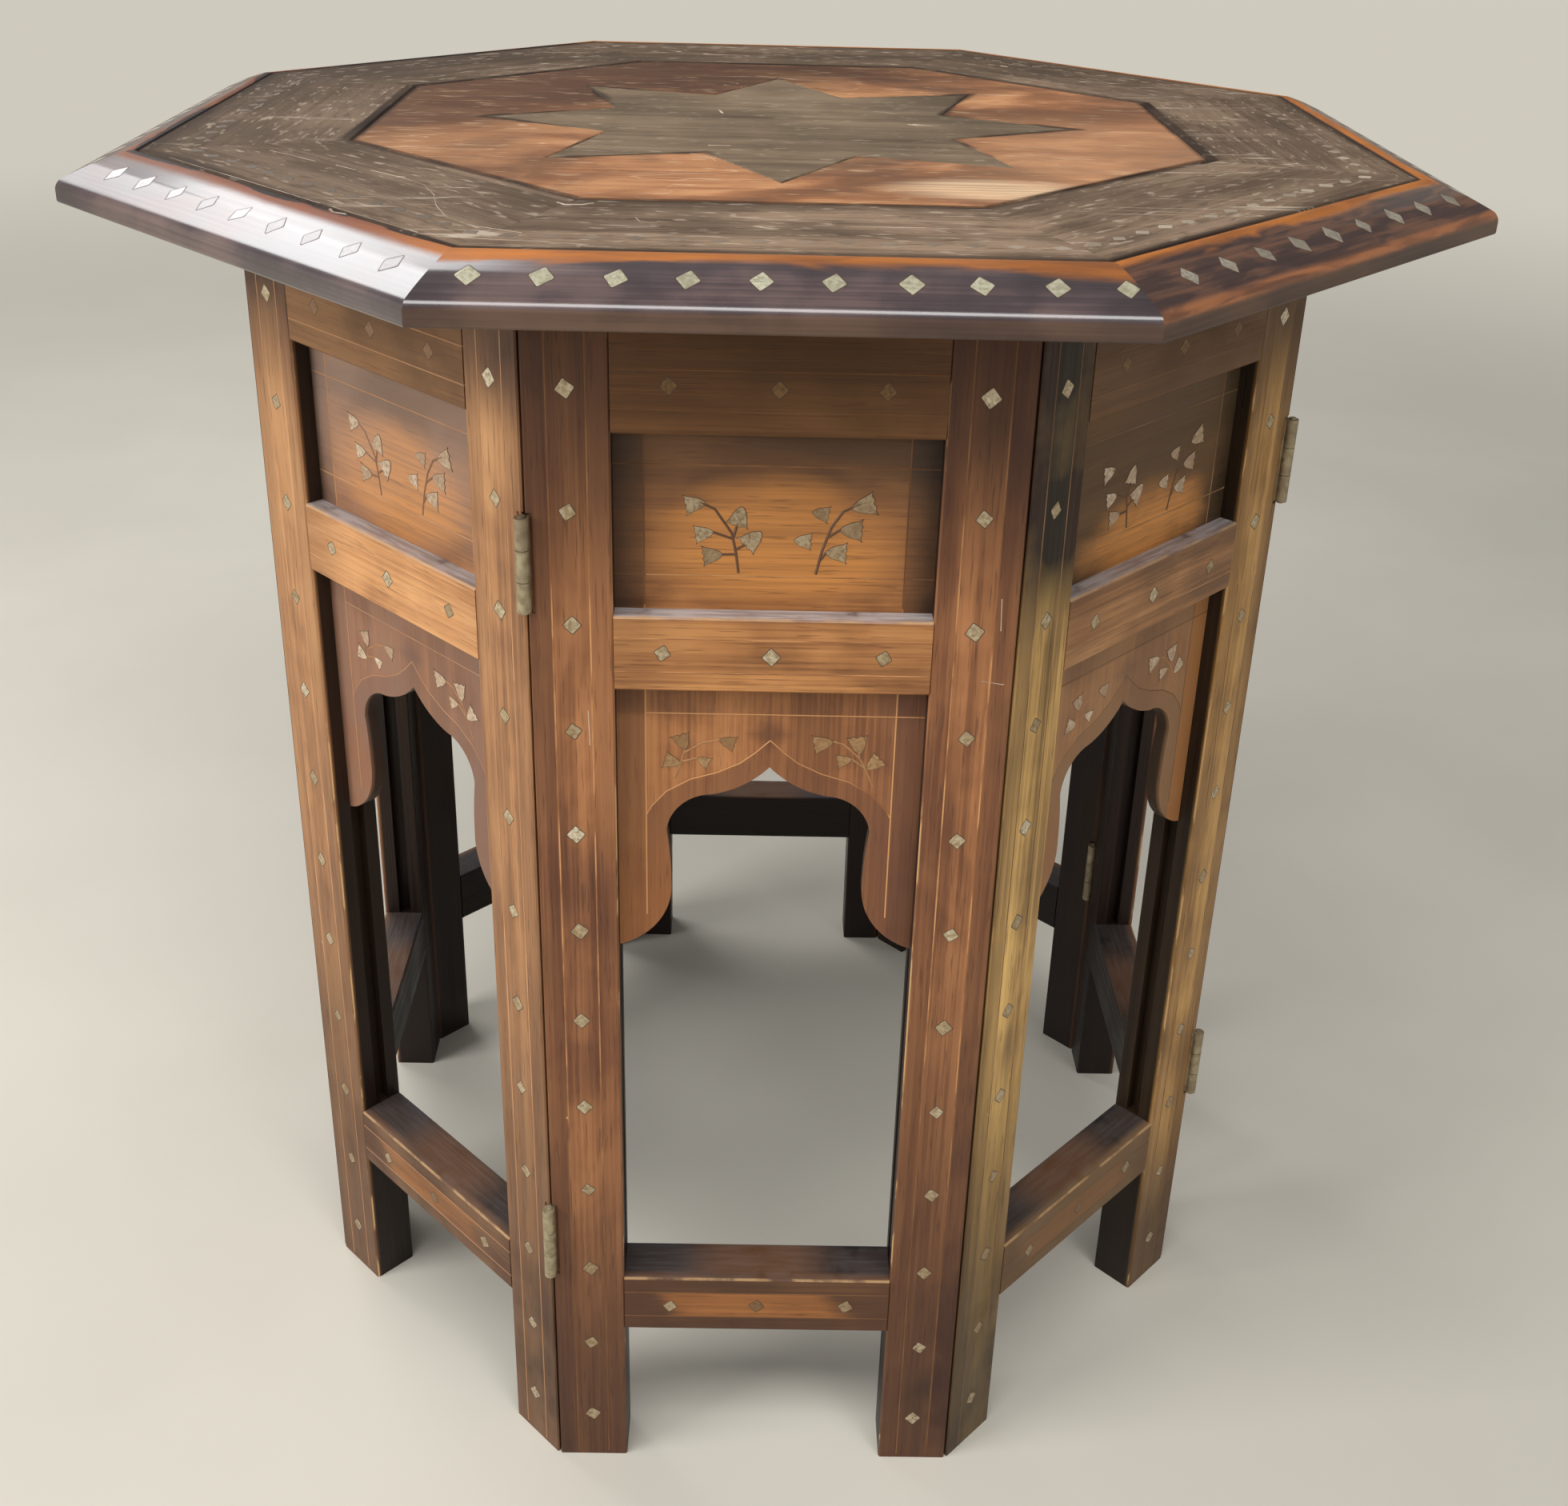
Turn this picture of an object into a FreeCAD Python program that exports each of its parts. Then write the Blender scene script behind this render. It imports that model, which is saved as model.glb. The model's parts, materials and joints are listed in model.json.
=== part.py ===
import FreeCAD, Part
import math
import os

# Octagonal side table: a loose inlaid top resting on a folding base of eight hinged panels.
# Millimetres, +Z up. The origin is on the floor under the middle, and the front panel faces -Y.

SIDES = 8
PANELS = ("front", "front_right", "right", "back_right", "back", "back_left", "left", "front_left")

# Panel frames
base_height = 600.0  # floor to the underside of the top
base_apothem = 235.0  # middle of the table to the outer face of a panel
frame_thickness = 23.5  # stiles and rails are flush on both faces
stile_width = 33.5  # outer face of a stile
mitre_gap = 1.0  # between the mitred edges of two panels
arris = 0.8  # eased long edges

# Rails
top_rail_width = 58.0
rail_width = 32.5  # middle and foot rails
upper_opening = 76.0  # clear height between the top and middle rails
foot_rail_height = 85.5  # floor to the lower edge of the foot rail
tenon_thickness = 7.6
tenon_length = 18.0
tenon_shoulder = 2.0  # from the bottom of a groove to the tenon
joint_clearance = 0.1  # round tenons in mortises and boards in grooves

# Boards held in grooves
board_setback = 9.0  # outer face of the frame to the face of a board
board_thickness = 7.0
groove_depth = 6.0

# Ogee arch: half widths from the middle, and drops below the apex
crown_depth = 39.5  # wood between the middle rail and the apex
shoulder_half = 24.0
shoulder_drop = 13.5
bulb_half = 43.0
bulb_drop = 31.5
waist_half = 41.0
waist_drop = 57.0
lobe_drop = 90.0  # to the foot of the board at the stile
ogee_sag = 2.2  # bulge of each arc from its chord
shoulder_sag = 5.0
neck_sag = 0.5
lobe_sag = 7.0

# Butt hinges, two to a corner
hinge_from_floor = 121.5  # to the lower end of the lower hinge
hinge_from_top = 92.0  # underside of the top to the upper end of the upper hinge
hinge_length = 40.0
knuckle_count = 3
knuckle_radius = 2.85
barrel_facets = 9  # knuckles and their holes are faceted, to keep so many of them light
knuckle_gap = 0.3  # between knuckles along the pin
knuckle_room = 0.45  # round the knuckles
pin_radius = 1.4
pin_fit = 0.05  # radial, pin in knuckle
pin_overhang = 0.8
pin_offset = 1.5  # pin axis beyond the corner of the two panels
leaf_thickness = 1.2
leaf_reach = 15.0  # pin axis to the far edge of a leaf
leaf_end_room = 1.2  # above and below a hinge in its recess

# Top
top_thickness = 20.0
top_apothem = 301.5  # middle to the outer edge
moulding_width = 31.5
moulding_edge = 8.5  # upright part of the edge
moulding_flat = 2.5  # level strip inside the chamfer
moulding_crown = 1.6  # bulge of the chamfer
moulding_ease = 1.2  # lower outer corner
tongue_depth = 6.0
tongue_thickness = 5.0
tongue_height = 5.0  # underside of the top to the tongue
veneer = 3.5  # border band, star field and star
border_width = 82.0
seam = 1.1  # width of half a V groove between two parts of the top
star_margin = 47.0  # edge of the field to the circle of the star's tips
star_point_angle = 56.3  # degrees, at each tip
star_shift = 8.0  # the star is set a little towards the front
star_gap = 0.3  # between the star and its field
star_seam = 0.5  # width of half a V groove round the star

half_angle = math.pi / SIDES
slope = math.tan(half_angle)
up = FreeCAD.Vector(0, 0, 1)


def half_width(depth):
    """Half the width of a panel at a depth behind its outer face, out to the mitred edge."""
    return (base_apothem - depth) * slope - mitre_gap / 2 / math.cos(half_angle)


def prism(points, low, high):
    """Upright prism on a plan outline."""
    corners = [FreeCAD.Vector(x, y, low) for x, y in points]
    return Part.Face(Part.makePolygon(corners + corners[:1])).extrude(up * (high - low))


def block(x_half, depth, height):
    """Box across the middle of the front panel, from pairs of depths and heights."""
    y = [d - base_apothem for d in depth]
    return prism([(-x_half, y[0]), (x_half, y[0]), (x_half, y[1]), (-x_half, y[1])], *height)


def eased(points, size):
    """Outline with each corner cut back by the same length along both of its edges."""
    result = []
    for i, corner in enumerate(points):
        for neighbour in (points[i - 1], points[(i + 1) % len(points)]):
            length = math.dist(corner, neighbour)
            result.append(tuple(c + (n - c) * size / length for c, n in zip(corner, neighbour)))
    return result


def bar(profile, x_half):
    """Bar along X on a section given as depth and height."""
    corners = [FreeCAD.Vector(-x_half, d - base_apothem, z) for d, z in profile]
    return Part.Face(Part.makePolygon(corners + corners[:1])).extrude(FreeCAD.Vector(2 * x_half, 0, 0))


def mirrored(shape):
    return shape.mirror(FreeCAD.Vector(0, 0, 0), FreeCAD.Vector(1, 0, 0))


def turned(shape, side):
    """Copy of a shape of the front side, carried round to another side of the octagon."""
    copy = shape.copy()
    copy.rotate(FreeCAD.Vector(0, 0, 0), up, 360 / SIDES * side)
    return copy


opening_half = half_width(0) - stile_width
top_rail_height = base_height - top_rail_width
middle_rail_top = top_rail_height - upper_opening
middle_rail_height = middle_rail_top - rail_width
foot_rail_top = foot_rail_height + rail_width
rail_spans = (
    (top_rail_height, base_height),
    (middle_rail_height, middle_rail_top),
    (foot_rail_height, foot_rail_top),
)
board_middle = board_setback + board_thickness / 2
board_depths = (board_setback, board_setback + board_thickness)
groove_depths = (board_depths[0] - joint_clearance, board_depths[1] + joint_clearance)
board_reach = groove_depth - joint_clearance
board_half = opening_half + board_reach


def tenon(span, room):
    """Pair of tenons of a rail as one bar, or the mortises for them when given room."""
    cheek = tenon_thickness / 2 + room
    margin = groove_depth + tenon_shoulder - room
    reach = opening_half + tenon_length + room
    return block(reach, (board_middle - cheek, board_middle + cheek), (span[0] + margin, span[1] - margin))


def rail(span):
    """Rail between the stiles, with its tenons and with grooves where a board meets it."""
    low, high = span
    corners = ((0, low), (frame_thickness, low), (frame_thickness, high), (0, high))
    shape = bar(eased(corners, arris), opening_half).fuse(tenon(span, 0))
    if low > foot_rail_height:
        shape = shape.cut(block(opening_half, groove_depths, (low, low + groove_depth)))
    if foot_rail_height < low < top_rail_height:
        shape = shape.cut(block(opening_half, groove_depths, (high - groove_depth, high)))
    return shape.removeSplitter()


def upper_board():
    return block(board_half, board_depths, (middle_rail_top - board_reach, top_rail_height + board_reach))


def arc(start, end, sag):
    """Arc between two points of the arch, bulging to the left of the way from start to end."""
    chord = end - start
    side = FreeCAD.Vector(-chord.z, 0, chord.x).normalize()
    return Part.Arc(start, (start + end) / 2 + side * sag, end).toShape()


def arch_board():
    """Board below the middle rail, cut to a pointed ogee arch with lobed feet."""
    face = board_setback - base_apothem
    apex_height = middle_rail_height - crown_depth

    def point(x, drop):
        return FreeCAD.Vector(x, face, apex_height - drop)

    apex = point(0, 0)
    shoulder = point(shoulder_half, shoulder_drop)
    bulb = point(bulb_half, bulb_drop)
    waist = point(waist_half, waist_drop)
    lobe = point(opening_half, lobe_drop)
    foot = point(board_half, lobe_drop)
    top_corner = point(board_half, -crown_depth - board_reach)
    top_middle = point(0, -crown_depth - board_reach)
    edges = [
        Part.makeLine(top_middle, apex),
        arc(apex, shoulder, -ogee_sag),
        arc(shoulder, bulb, shoulder_sag),
        arc(bulb, waist, -neck_sag),
        arc(waist, lobe, -lobe_sag),
        Part.makeLine(lobe, foot),
        Part.makeLine(foot, top_corner),
        Part.makeLine(top_corner, top_middle),
    ]
    half = Part.Face(Part.Wire(edges)).extrude(FreeCAD.Vector(0, board_thickness, 0))
    return half.fuse(mirrored(half)).removeSplitter()


def corner_frame(outside):
    """Pin axis at the right-hand corner of the front panel, with the way along the mitred edge and into it."""
    radial = FreeCAD.Vector(math.sin(half_angle), -math.cos(half_angle), 0)
    across = FreeCAD.Vector(-math.cos(half_angle), -math.sin(half_angle), 0)
    if outside:
        return radial * (base_apothem / math.cos(half_angle) + pin_offset), -radial, across
    return radial * ((base_apothem - frame_thickness) / math.cos(half_angle) - pin_offset), radial, across


def plate(outside, along, into, height):
    """Flat plate in a mitred edge, from pairs of distances along it, into it and up."""
    pin, way, across = corner_frame(outside)
    plan = [(along[0], into[0]), (along[1], into[0]), (along[1], into[1]), (along[0], into[1])]
    corners = [pin + way * a + across * b for a, b in plan]
    return prism([(c.x, c.y) for c in corners], *height)


def barrel(outside, radius, height):
    """Faceted barrel on the pin axis, with its corners at the radius."""
    pin = corner_frame(outside)[0]
    turns = [2 * math.pi * i / barrel_facets for i in range(barrel_facets)]
    return prism([(pin.x + radius * math.cos(a), pin.y + radius * math.sin(a)) for a in turns], *height)


def hole(outside, radius, height):
    """Faceted hole on the pin axis, with its flats at the radius."""
    return barrel(outside, radius / math.cos(math.pi / barrel_facets), height)


hinge_heights = (hinge_from_floor, base_height - hinge_from_top - hinge_length)
leaf_depths = (mitre_gap / 2, mitre_gap / 2 + leaf_thickness)
leaf_start = knuckle_radius + knuckle_room


def stile(outside):
    """Right-hand stile, hinged on its outer or on its inner corner."""
    plan = (
        (opening_half, 0),
        (half_width(0), 0),
        (half_width(frame_thickness), frame_thickness),
        (opening_half, frame_thickness),
    )
    outline = [(x, depth - base_apothem) for x, depth in eased(plan, arris)]
    shape = prism(outline, 0, base_height)
    groove_span = (foot_rail_top, top_rail_height + groove_depth)
    shape = shape.cut(block(opening_half + groove_depth, groove_depths, groove_span))
    for span in rail_spans:
        shape = shape.cut(tenon(span, joint_clearance))
    for height in hinge_heights:
        recess = (height - leaf_end_room, height + hinge_length + leaf_end_room)
        shape = shape.cut(plate(outside, (0, leaf_reach + joint_clearance), (0, leaf_depths[1]), recess))
        shape = shape.cut(plate(outside, (0, leaf_start), (0, leaf_start), recess))
    return shape.removeSplitter()


def hinge_leaf(outside, height, own_knuckles):
    """Leaf of the right-hand corner, with the knuckles that belong to it."""
    shape = plate(outside, (leaf_start, leaf_reach), leaf_depths, (height, height + hinge_length))
    pitch = (hinge_length + knuckle_gap) / knuckle_count
    for i in own_knuckles:
        span = (height + pitch * i, height + pitch * (i + 1) - knuckle_gap)
        shape = shape.fuse(barrel(outside, knuckle_radius, span))
        shape = shape.fuse(plate(outside, (0, leaf_start), leaf_depths, span))
        shape = shape.cut(hole(outside, pin_radius + pin_fit, span))
    return shape.removeSplitter()


def hinge_pin(outside, height):
    pin = corner_frame(outside)[0]
    foot = FreeCAD.Vector(pin.x, pin.y, height - pin_overhang)
    return Part.makeCylinder(pin_radius, hinge_length + 2 * pin_overhang, foot)


def base_panels():
    """Eight panels. Every second one is the mirror image, with the leaves that hold the pins."""
    rails = [rail(span) for span in rail_spans]
    upper = upper_board()
    arch = arch_board()
    inner_stile = stile(False)
    outer_stile = stile(True)
    nodes = {}
    for side, name in enumerate(PANELS):
        holds_pins = side % 2 == 1
        own = range(0, knuckle_count, 2) if holds_pins else range(1, knuckle_count, 2)
        inner_leaves = [hinge_leaf(False, height, own) for height in hinge_heights]
        outer_leaves = [hinge_leaf(True, height, own) for height in hinge_heights]
        inner_pins = [hinge_pin(False, height) for height in hinge_heights]
        outer_pins = [hinge_pin(True, height) for height in hinge_heights]
        if holds_pins:
            right_stile, left_stile = outer_stile, mirrored(inner_stile)
            leaves = outer_leaves + [mirrored(leaf) for leaf in inner_leaves]
            pins = outer_pins + [mirrored(pin) for pin in inner_pins]
            nodes[f"{name}_panel_hinge_pins"] = turned(Part.makeCompound(pins), side)
        else:
            right_stile, left_stile = inner_stile, mirrored(outer_stile)
            leaves = inner_leaves + [mirrored(leaf) for leaf in outer_leaves]
        nodes[f"{name}_panel_left_stile"] = turned(left_stile, side)
        nodes[f"{name}_panel_right_stile"] = turned(right_stile, side)
        nodes[f"{name}_panel_rails"] = turned(Part.makeCompound(rails), side)
        nodes[f"{name}_panel_upper_board"] = turned(upper, side)
        nodes[f"{name}_panel_arch_board"] = turned(arch, side)
        nodes[f"{name}_panel_hinge_leaves"] = turned(Part.makeCompound(leaves), side)
    return nodes


top_height = base_height + top_thickness
core_apothem = top_apothem - moulding_width
core_top = top_height - veneer
field_apothem = core_apothem - border_width
star_tip = field_apothem - star_margin
tip_angle = math.radians(star_point_angle / 2)
star_notch = star_tip * math.sin(tip_angle) / math.sin(tip_angle + half_angle)


def octagon(apothem, low, high):
    radius = apothem / math.cos(half_angle)
    turns = [half_angle * (2 * i + 1) for i in range(SIDES)]
    return prism([(radius * math.cos(a), radius * math.sin(a)) for a in turns], low, high)


def ring_of(face):
    """Mitred strips round the octagon, from the section of the front one."""
    reach = top_apothem + moulding_width
    wedge = prism([(0, 0), (-reach * slope, -reach), (reach * slope, -reach)], 0, 2 * top_height)
    length = 2 * reach * slope
    strip = face.extrude(FreeCAD.Vector(length, 0, 0))
    strip.translate(FreeCAD.Vector(-length / 2, 0, 0))
    strip = strip.common(wedge).Solids[0]
    return Part.makeCompound([turned(strip, side) for side in range(SIDES)])


def section_point(apothem, height):
    return FreeCAD.Vector(0, -apothem, height)


def top_board():
    """Core board, grooved round its edge for the tongues of the moulding."""
    groove = (base_height + tongue_height, base_height + tongue_height + tongue_thickness)
    ring = octagon(core_apothem, *groove).cut(octagon(core_apothem - tongue_depth, *groove))
    return octagon(core_apothem, base_height, core_top).cut(ring)


def edge_moulding():
    """Edge strips with an upright foot, a gently rounded chamfer and a V groove at the inside."""
    edge = base_height + moulding_edge
    tongue_low = base_height + tongue_height
    tongue_high = tongue_low + tongue_thickness
    tongue_apothem = core_apothem - tongue_depth + joint_clearance
    chamfer_low = section_point(top_apothem, edge)
    chamfer_high = section_point(core_apothem + seam + moulding_flat, top_height)
    chamfer = chamfer_high - chamfer_low
    outward = FreeCAD.Vector(0, -chamfer.z, chamfer.y).normalize()
    crown = (chamfer_low + chamfer_high) / 2 + outward * moulding_crown
    path = [
        section_point(core_apothem + seam, top_height),
        section_point(core_apothem, top_height - seam),
        section_point(core_apothem, tongue_high - joint_clearance),
        section_point(tongue_apothem, tongue_high - joint_clearance),
        section_point(tongue_apothem, tongue_low + joint_clearance),
        section_point(core_apothem, tongue_low + joint_clearance),
        section_point(core_apothem, base_height),
        section_point(top_apothem - moulding_ease, base_height),
        section_point(top_apothem, base_height + moulding_ease),
        chamfer_low,
    ]
    edges = [Part.makeLine(chamfer_high, path[0])]
    edges += [Part.makeLine(a, b) for a, b in zip(path, path[1:])]
    edges.append(Part.Arc(chamfer_low, crown, chamfer_high).toShape())
    return ring_of(Part.Face(Part.Wire(edges)))


def border_band():
    """Ring of mitred boards with half a V groove along each edge."""
    path = [
        section_point(field_apothem, core_top),
        section_point(core_apothem, core_top),
        section_point(core_apothem, top_height - seam),
        section_point(core_apothem - seam, top_height),
        section_point(field_apothem + seam, top_height),
        section_point(field_apothem, top_height - seam),
    ]
    return ring_of(Part.Face(Part.makePolygon(path + path[:1])))


def star_prism(growth):
    """Eight-pointed star, or its hole when grown."""
    outline = []
    for i in range(2 * SIDES):
        radius = (star_tip if i % 2 == 0 else star_notch) + growth
        turn = half_angle * i - math.pi / 2
        outline.append((radius * math.cos(turn), radius * math.sin(turn) - star_shift))
    return prism(outline, core_top, top_height)


def bevelled(body, size, reach):
    """Veneer with half a V groove along those edges of its face that lie within reach of the middle."""
    face_edges = [edge for edge in body.Edges if all(v.Z > top_height - veneer / 2 for v in edge.Vertexes)]
    rim = [edge for edge in face_edges if math.hypot(edge.CenterOfMass.x, edge.CenterOfMass.y) < reach]
    return body.makeChamfer(size, rim)


def star():
    return bevelled(star_prism(0), star_seam, top_apothem)


def star_field():
    """Octagon inside the border, with half a V groove round its edge and round its hole for the star."""
    body = bevelled(octagon(field_apothem, core_top, top_height), seam, top_apothem)
    return bevelled(body.cut(star_prism(star_gap)), star_seam, star_tip + star_shift)


nodes = base_panels()
nodes["top_board"] = top_board()
nodes["edge_moulding"] = edge_moulding()
nodes["border_band"] = border_band()
nodes["star_field"] = star_field()
nodes["star"] = star()

os.makedirs("parts", exist_ok=True)
for node, shape in nodes.items():
    shape.exportStep(f"parts/{node}.step")
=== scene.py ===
import json
import math
import random

import bpy
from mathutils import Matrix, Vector

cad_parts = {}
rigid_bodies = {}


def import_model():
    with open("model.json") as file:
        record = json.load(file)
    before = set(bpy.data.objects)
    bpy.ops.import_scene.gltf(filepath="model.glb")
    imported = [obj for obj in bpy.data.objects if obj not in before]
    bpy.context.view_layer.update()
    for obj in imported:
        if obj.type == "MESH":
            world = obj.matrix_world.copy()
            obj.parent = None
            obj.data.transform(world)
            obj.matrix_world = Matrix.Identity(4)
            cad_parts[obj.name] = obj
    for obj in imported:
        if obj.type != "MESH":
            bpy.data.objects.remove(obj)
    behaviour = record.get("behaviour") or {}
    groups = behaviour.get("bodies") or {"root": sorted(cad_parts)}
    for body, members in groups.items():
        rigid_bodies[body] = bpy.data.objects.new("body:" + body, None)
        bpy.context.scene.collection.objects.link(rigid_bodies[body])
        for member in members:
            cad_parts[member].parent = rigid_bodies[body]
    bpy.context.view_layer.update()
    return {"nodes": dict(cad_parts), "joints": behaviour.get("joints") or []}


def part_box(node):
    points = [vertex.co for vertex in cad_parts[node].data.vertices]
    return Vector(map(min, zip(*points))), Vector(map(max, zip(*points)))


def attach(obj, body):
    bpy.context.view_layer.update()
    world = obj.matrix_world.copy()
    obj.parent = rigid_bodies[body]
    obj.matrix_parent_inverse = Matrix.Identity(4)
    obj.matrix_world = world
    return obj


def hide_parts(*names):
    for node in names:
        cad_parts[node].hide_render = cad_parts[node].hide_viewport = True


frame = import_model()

bpy.ops.object.select_all(action="DESELECT")

# Stiles: two full-height legs to each of the eight panels, red-brown hardwood with the grain upright.
# Each is mortised for the rails and mitred along its outer edge. The oiled faces are darker at the
# feet and painted with the shade of the overhanging top towards their heads, the faces inside the
# openings are painted near black with shade, and the inner arrises are rubbed pale in places. The
# front left panel's stiles are painted paler, as lit.
panels = ("front", "front_right", "right", "back_right", "back", "back_left", "left", "front_left")
side_turn = math.radians(45)
mm = 0.001
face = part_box("front_panel_rails")[0].y
opening = 63.3
stile_strings = (72.3, 87.3)


def tint(red, green, blue):
    """Colour from its screen values of 0 to 255, in the shader's linear scale."""
    scaled = [value / 255 for value in (red, green, blue)]
    return (*[v / 12.92 if v < 0.04045 else ((v + 0.055) / 1.055) ** 2.4 for v in scaled], 1)


def feed(socket, value):
    """Links a wire to a socket, or sets it to a number, a vector or a colour's screen values."""
    if isinstance(value, Wire):
        socket.id_data.links.new(value.socket, socket)
    else:
        socket.default_value = tint(*value) if socket.type == "RGBA" else value


def arithmetic(operation, reflected=False):
    """A method of Wire that adds a Math node. Reflected, the wire is its last value, not its first."""
    def method(self, *others):
        values = (*others, self) if reflected else (self, *others)
        return self.finish.node("Math", {"operation": operation}, dict(enumerate(values)))
    return method


class Wire:
    """An output of a shader node. Arithmetic on wires and numbers adds Math nodes."""

    __add__ = __radd__ = arithmetic("ADD")
    __sub__, __rsub__ = arithmetic("SUBTRACT"), arithmetic("SUBTRACT", reflected=True)
    __mul__ = __rmul__ = arithmetic("MULTIPLY")
    __gt__, __abs__ = arithmetic("GREATER_THAN"), arithmetic("ABSOLUTE")
    larger, smaller = arithmetic("MAXIMUM"), arithmetic("MINIMUM")
    root, cosine, sine = arithmetic("SQRT"), arithmetic("COSINE"), arithmetic("SINE")
    angle, pingpong = arithmetic("ARCTAN2"), arithmetic("PINGPONG")

    def __init__(self, finish, socket):
        self.finish, self.socket = finish, socket

    def fade(self, low, high):
        """Smooth step from 0 at low to 1 at high."""
        return self.finish.node(
            "MapRange",
            {"interpolation_type": "SMOOTHSTEP"},
            {"Value": self, "From Min": low, "From Max": high},
        )

    def axes(self):
        return self.finish.node("SeparateXYZ", sockets={"Vector": self}, outputs=(0, 1, 2))

    def length(self):
        return self.finish.node("VectorMath", {"operation": "LENGTH"}, {0: self}, "Value")

    def stretched(self, scale, shift=(0, 0, 0)):
        return self.finish.node("Mapping", sockets={"Vector": self, "Scale": scale, "Location": shift})

    def noise(self, scale=1.0, detail=3.0, distortion=0.0):
        return self.finish.node("TexNoise", sockets={
            "Vector": self,
            "Scale": scale,
            "Detail": detail,
            "Distortion": distortion,
        })

    def grain(self, along, seed=(0, 0, 0)):
        """Bands, stains and fibres drawn out along one axis, and short pores, each 0 to 1."""
        def streaks(across, length, detail, distortion, low, high):
            scale = [across] * 3
            scale[along] = length
            return self.stretched(scale, seed).noise(1.0, detail, distortion).fade(low, high)
        bands = streaks(88, 2.4, 6, 0.5, 0.36, 0.64)
        stains = streaks(23, 7, 7, 0.9, 0.36, 0.64)
        fibres = streaks(640, 9, 3, 0.0, 0.34, 0.66)
        pores = streaks(1300, 60, 1, 0.0, 0.6, 0.74)
        return bands, stains, fibres, pores

    def nicks(self, scale):
        """Sparse pale chips."""
        sockets = {"Vector": self, "Scale": scale, "Randomness": 1.0}
        spots = self.finish.node("TexVoronoi", sockets=sockets)
        return spots.fade(0.024, 0.014) * self.noise(23, 1).fade(0.52, 0.6)


class Finish:
    """A material and the nodes that feed its shader."""

    def __init__(self, name, shelf="materials"):
        self.material = getattr(bpy.data, shelf).new(name)
        self.material.use_nodes = True
        self.tree = self.material.node_tree

    def node(self, kind, settings=None, sockets=None, outputs=0):
        """Any node: its settings first, then the values or links of its sockets."""
        node = self.tree.nodes.new("ShaderNode" + kind)
        for key, value in (settings or {}).items():
            if key == "stops":
                first, *between, last = value
                for stop, (position, colour) in zip(node.color_ramp.elements, (first, last)):
                    stop.position, stop.color = position, colour
                for position, colour in between:
                    node.color_ramp.elements.new(position).color = colour
            else:
                setattr(node, key, value)
        for key, value in (sockets or {}).items():
            feed(node.inputs[key], value)
        if isinstance(outputs, (int, str)):
            return Wire(self, node.outputs[outputs])
        return [Wire(self, node.outputs[i]) for i in outputs]

    def place(self, turn=0.0):
        """Object coordinates, turned about the upright axis."""
        here = self.node("TexCoord", outputs="Object")
        return self.node("Mapping", sockets={"Vector": here, "Rotation": (0, 0, turn)})

    def mix(self, factor, first, second):
        return self.node("Mix", {"data_type": "RGBA"}, {0: factor, 6: first, 7: second}, 2)

    def coats(self, colour, *layers):
        """A colour with others laid over it in turn, each by its own share."""
        for share, over in layers:
            colour = self.mix(share, colour, over)
        return colour

    def ramp(self, factor, *colours):
        """Colours spread evenly from 0 to 1."""
        stops = [(i / (len(colours) - 1), tint(*colour)) for i, colour in enumerate(colours)]
        return self.node("ValToRGB", {"stops": stops}, {"Fac": factor})

    def bumps(self, height, distance):
        return self.node("Bump", sockets={"Height": height, "Distance": distance, "Strength": 0.5})

    def surface(self, **sockets):
        """Sets the shader's sockets, named with underscores for spaces, and gives the material."""
        shader = self.tree.nodes["Principled BSDF"]
        for key, value in sockets.items():
            feed(shader.inputs[key.replace("_", " ")], value)
        return self.material


def dress(node_name, material):
    """Gives a CAD node its finish."""
    for slot in frame["nodes"][node_name].material_slots:
        slot.material = material


def panel_wood(side, label, along, seed, blotch_scale):
    """Finish of a panel's piece, its place in the panel's own frame, its grain and its blotches."""
    wood = Finish(f"{panels[side]}_{label}_wood")
    place = wood.place(-side_turn * side)
    return wood, place, place.grain(along, seed), place.noise(blotch_scale, 4).fade(0.36, 0.64)


def oiled(wood, colour, roughness, fibres, blotch, relief):
    """Gives a panel's wood its colour and the dull sheen of old oil, rougher along the fibres."""
    return wood.surface(
        Base_Color=colour,
        Roughness=roughness + 0.16 * fibres + 0.12 * blotch,
        Specular_IOR_Level=0.3,
        Normal=wood.bumps(relief, 0.2 * mm),
    )


inner_string, outer_string = [line * mm for line in stile_strings]
stile_edge = opening * mm
rubbed_wood, chipped_wood = (214, 172, 118), (226, 204, 176)


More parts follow.
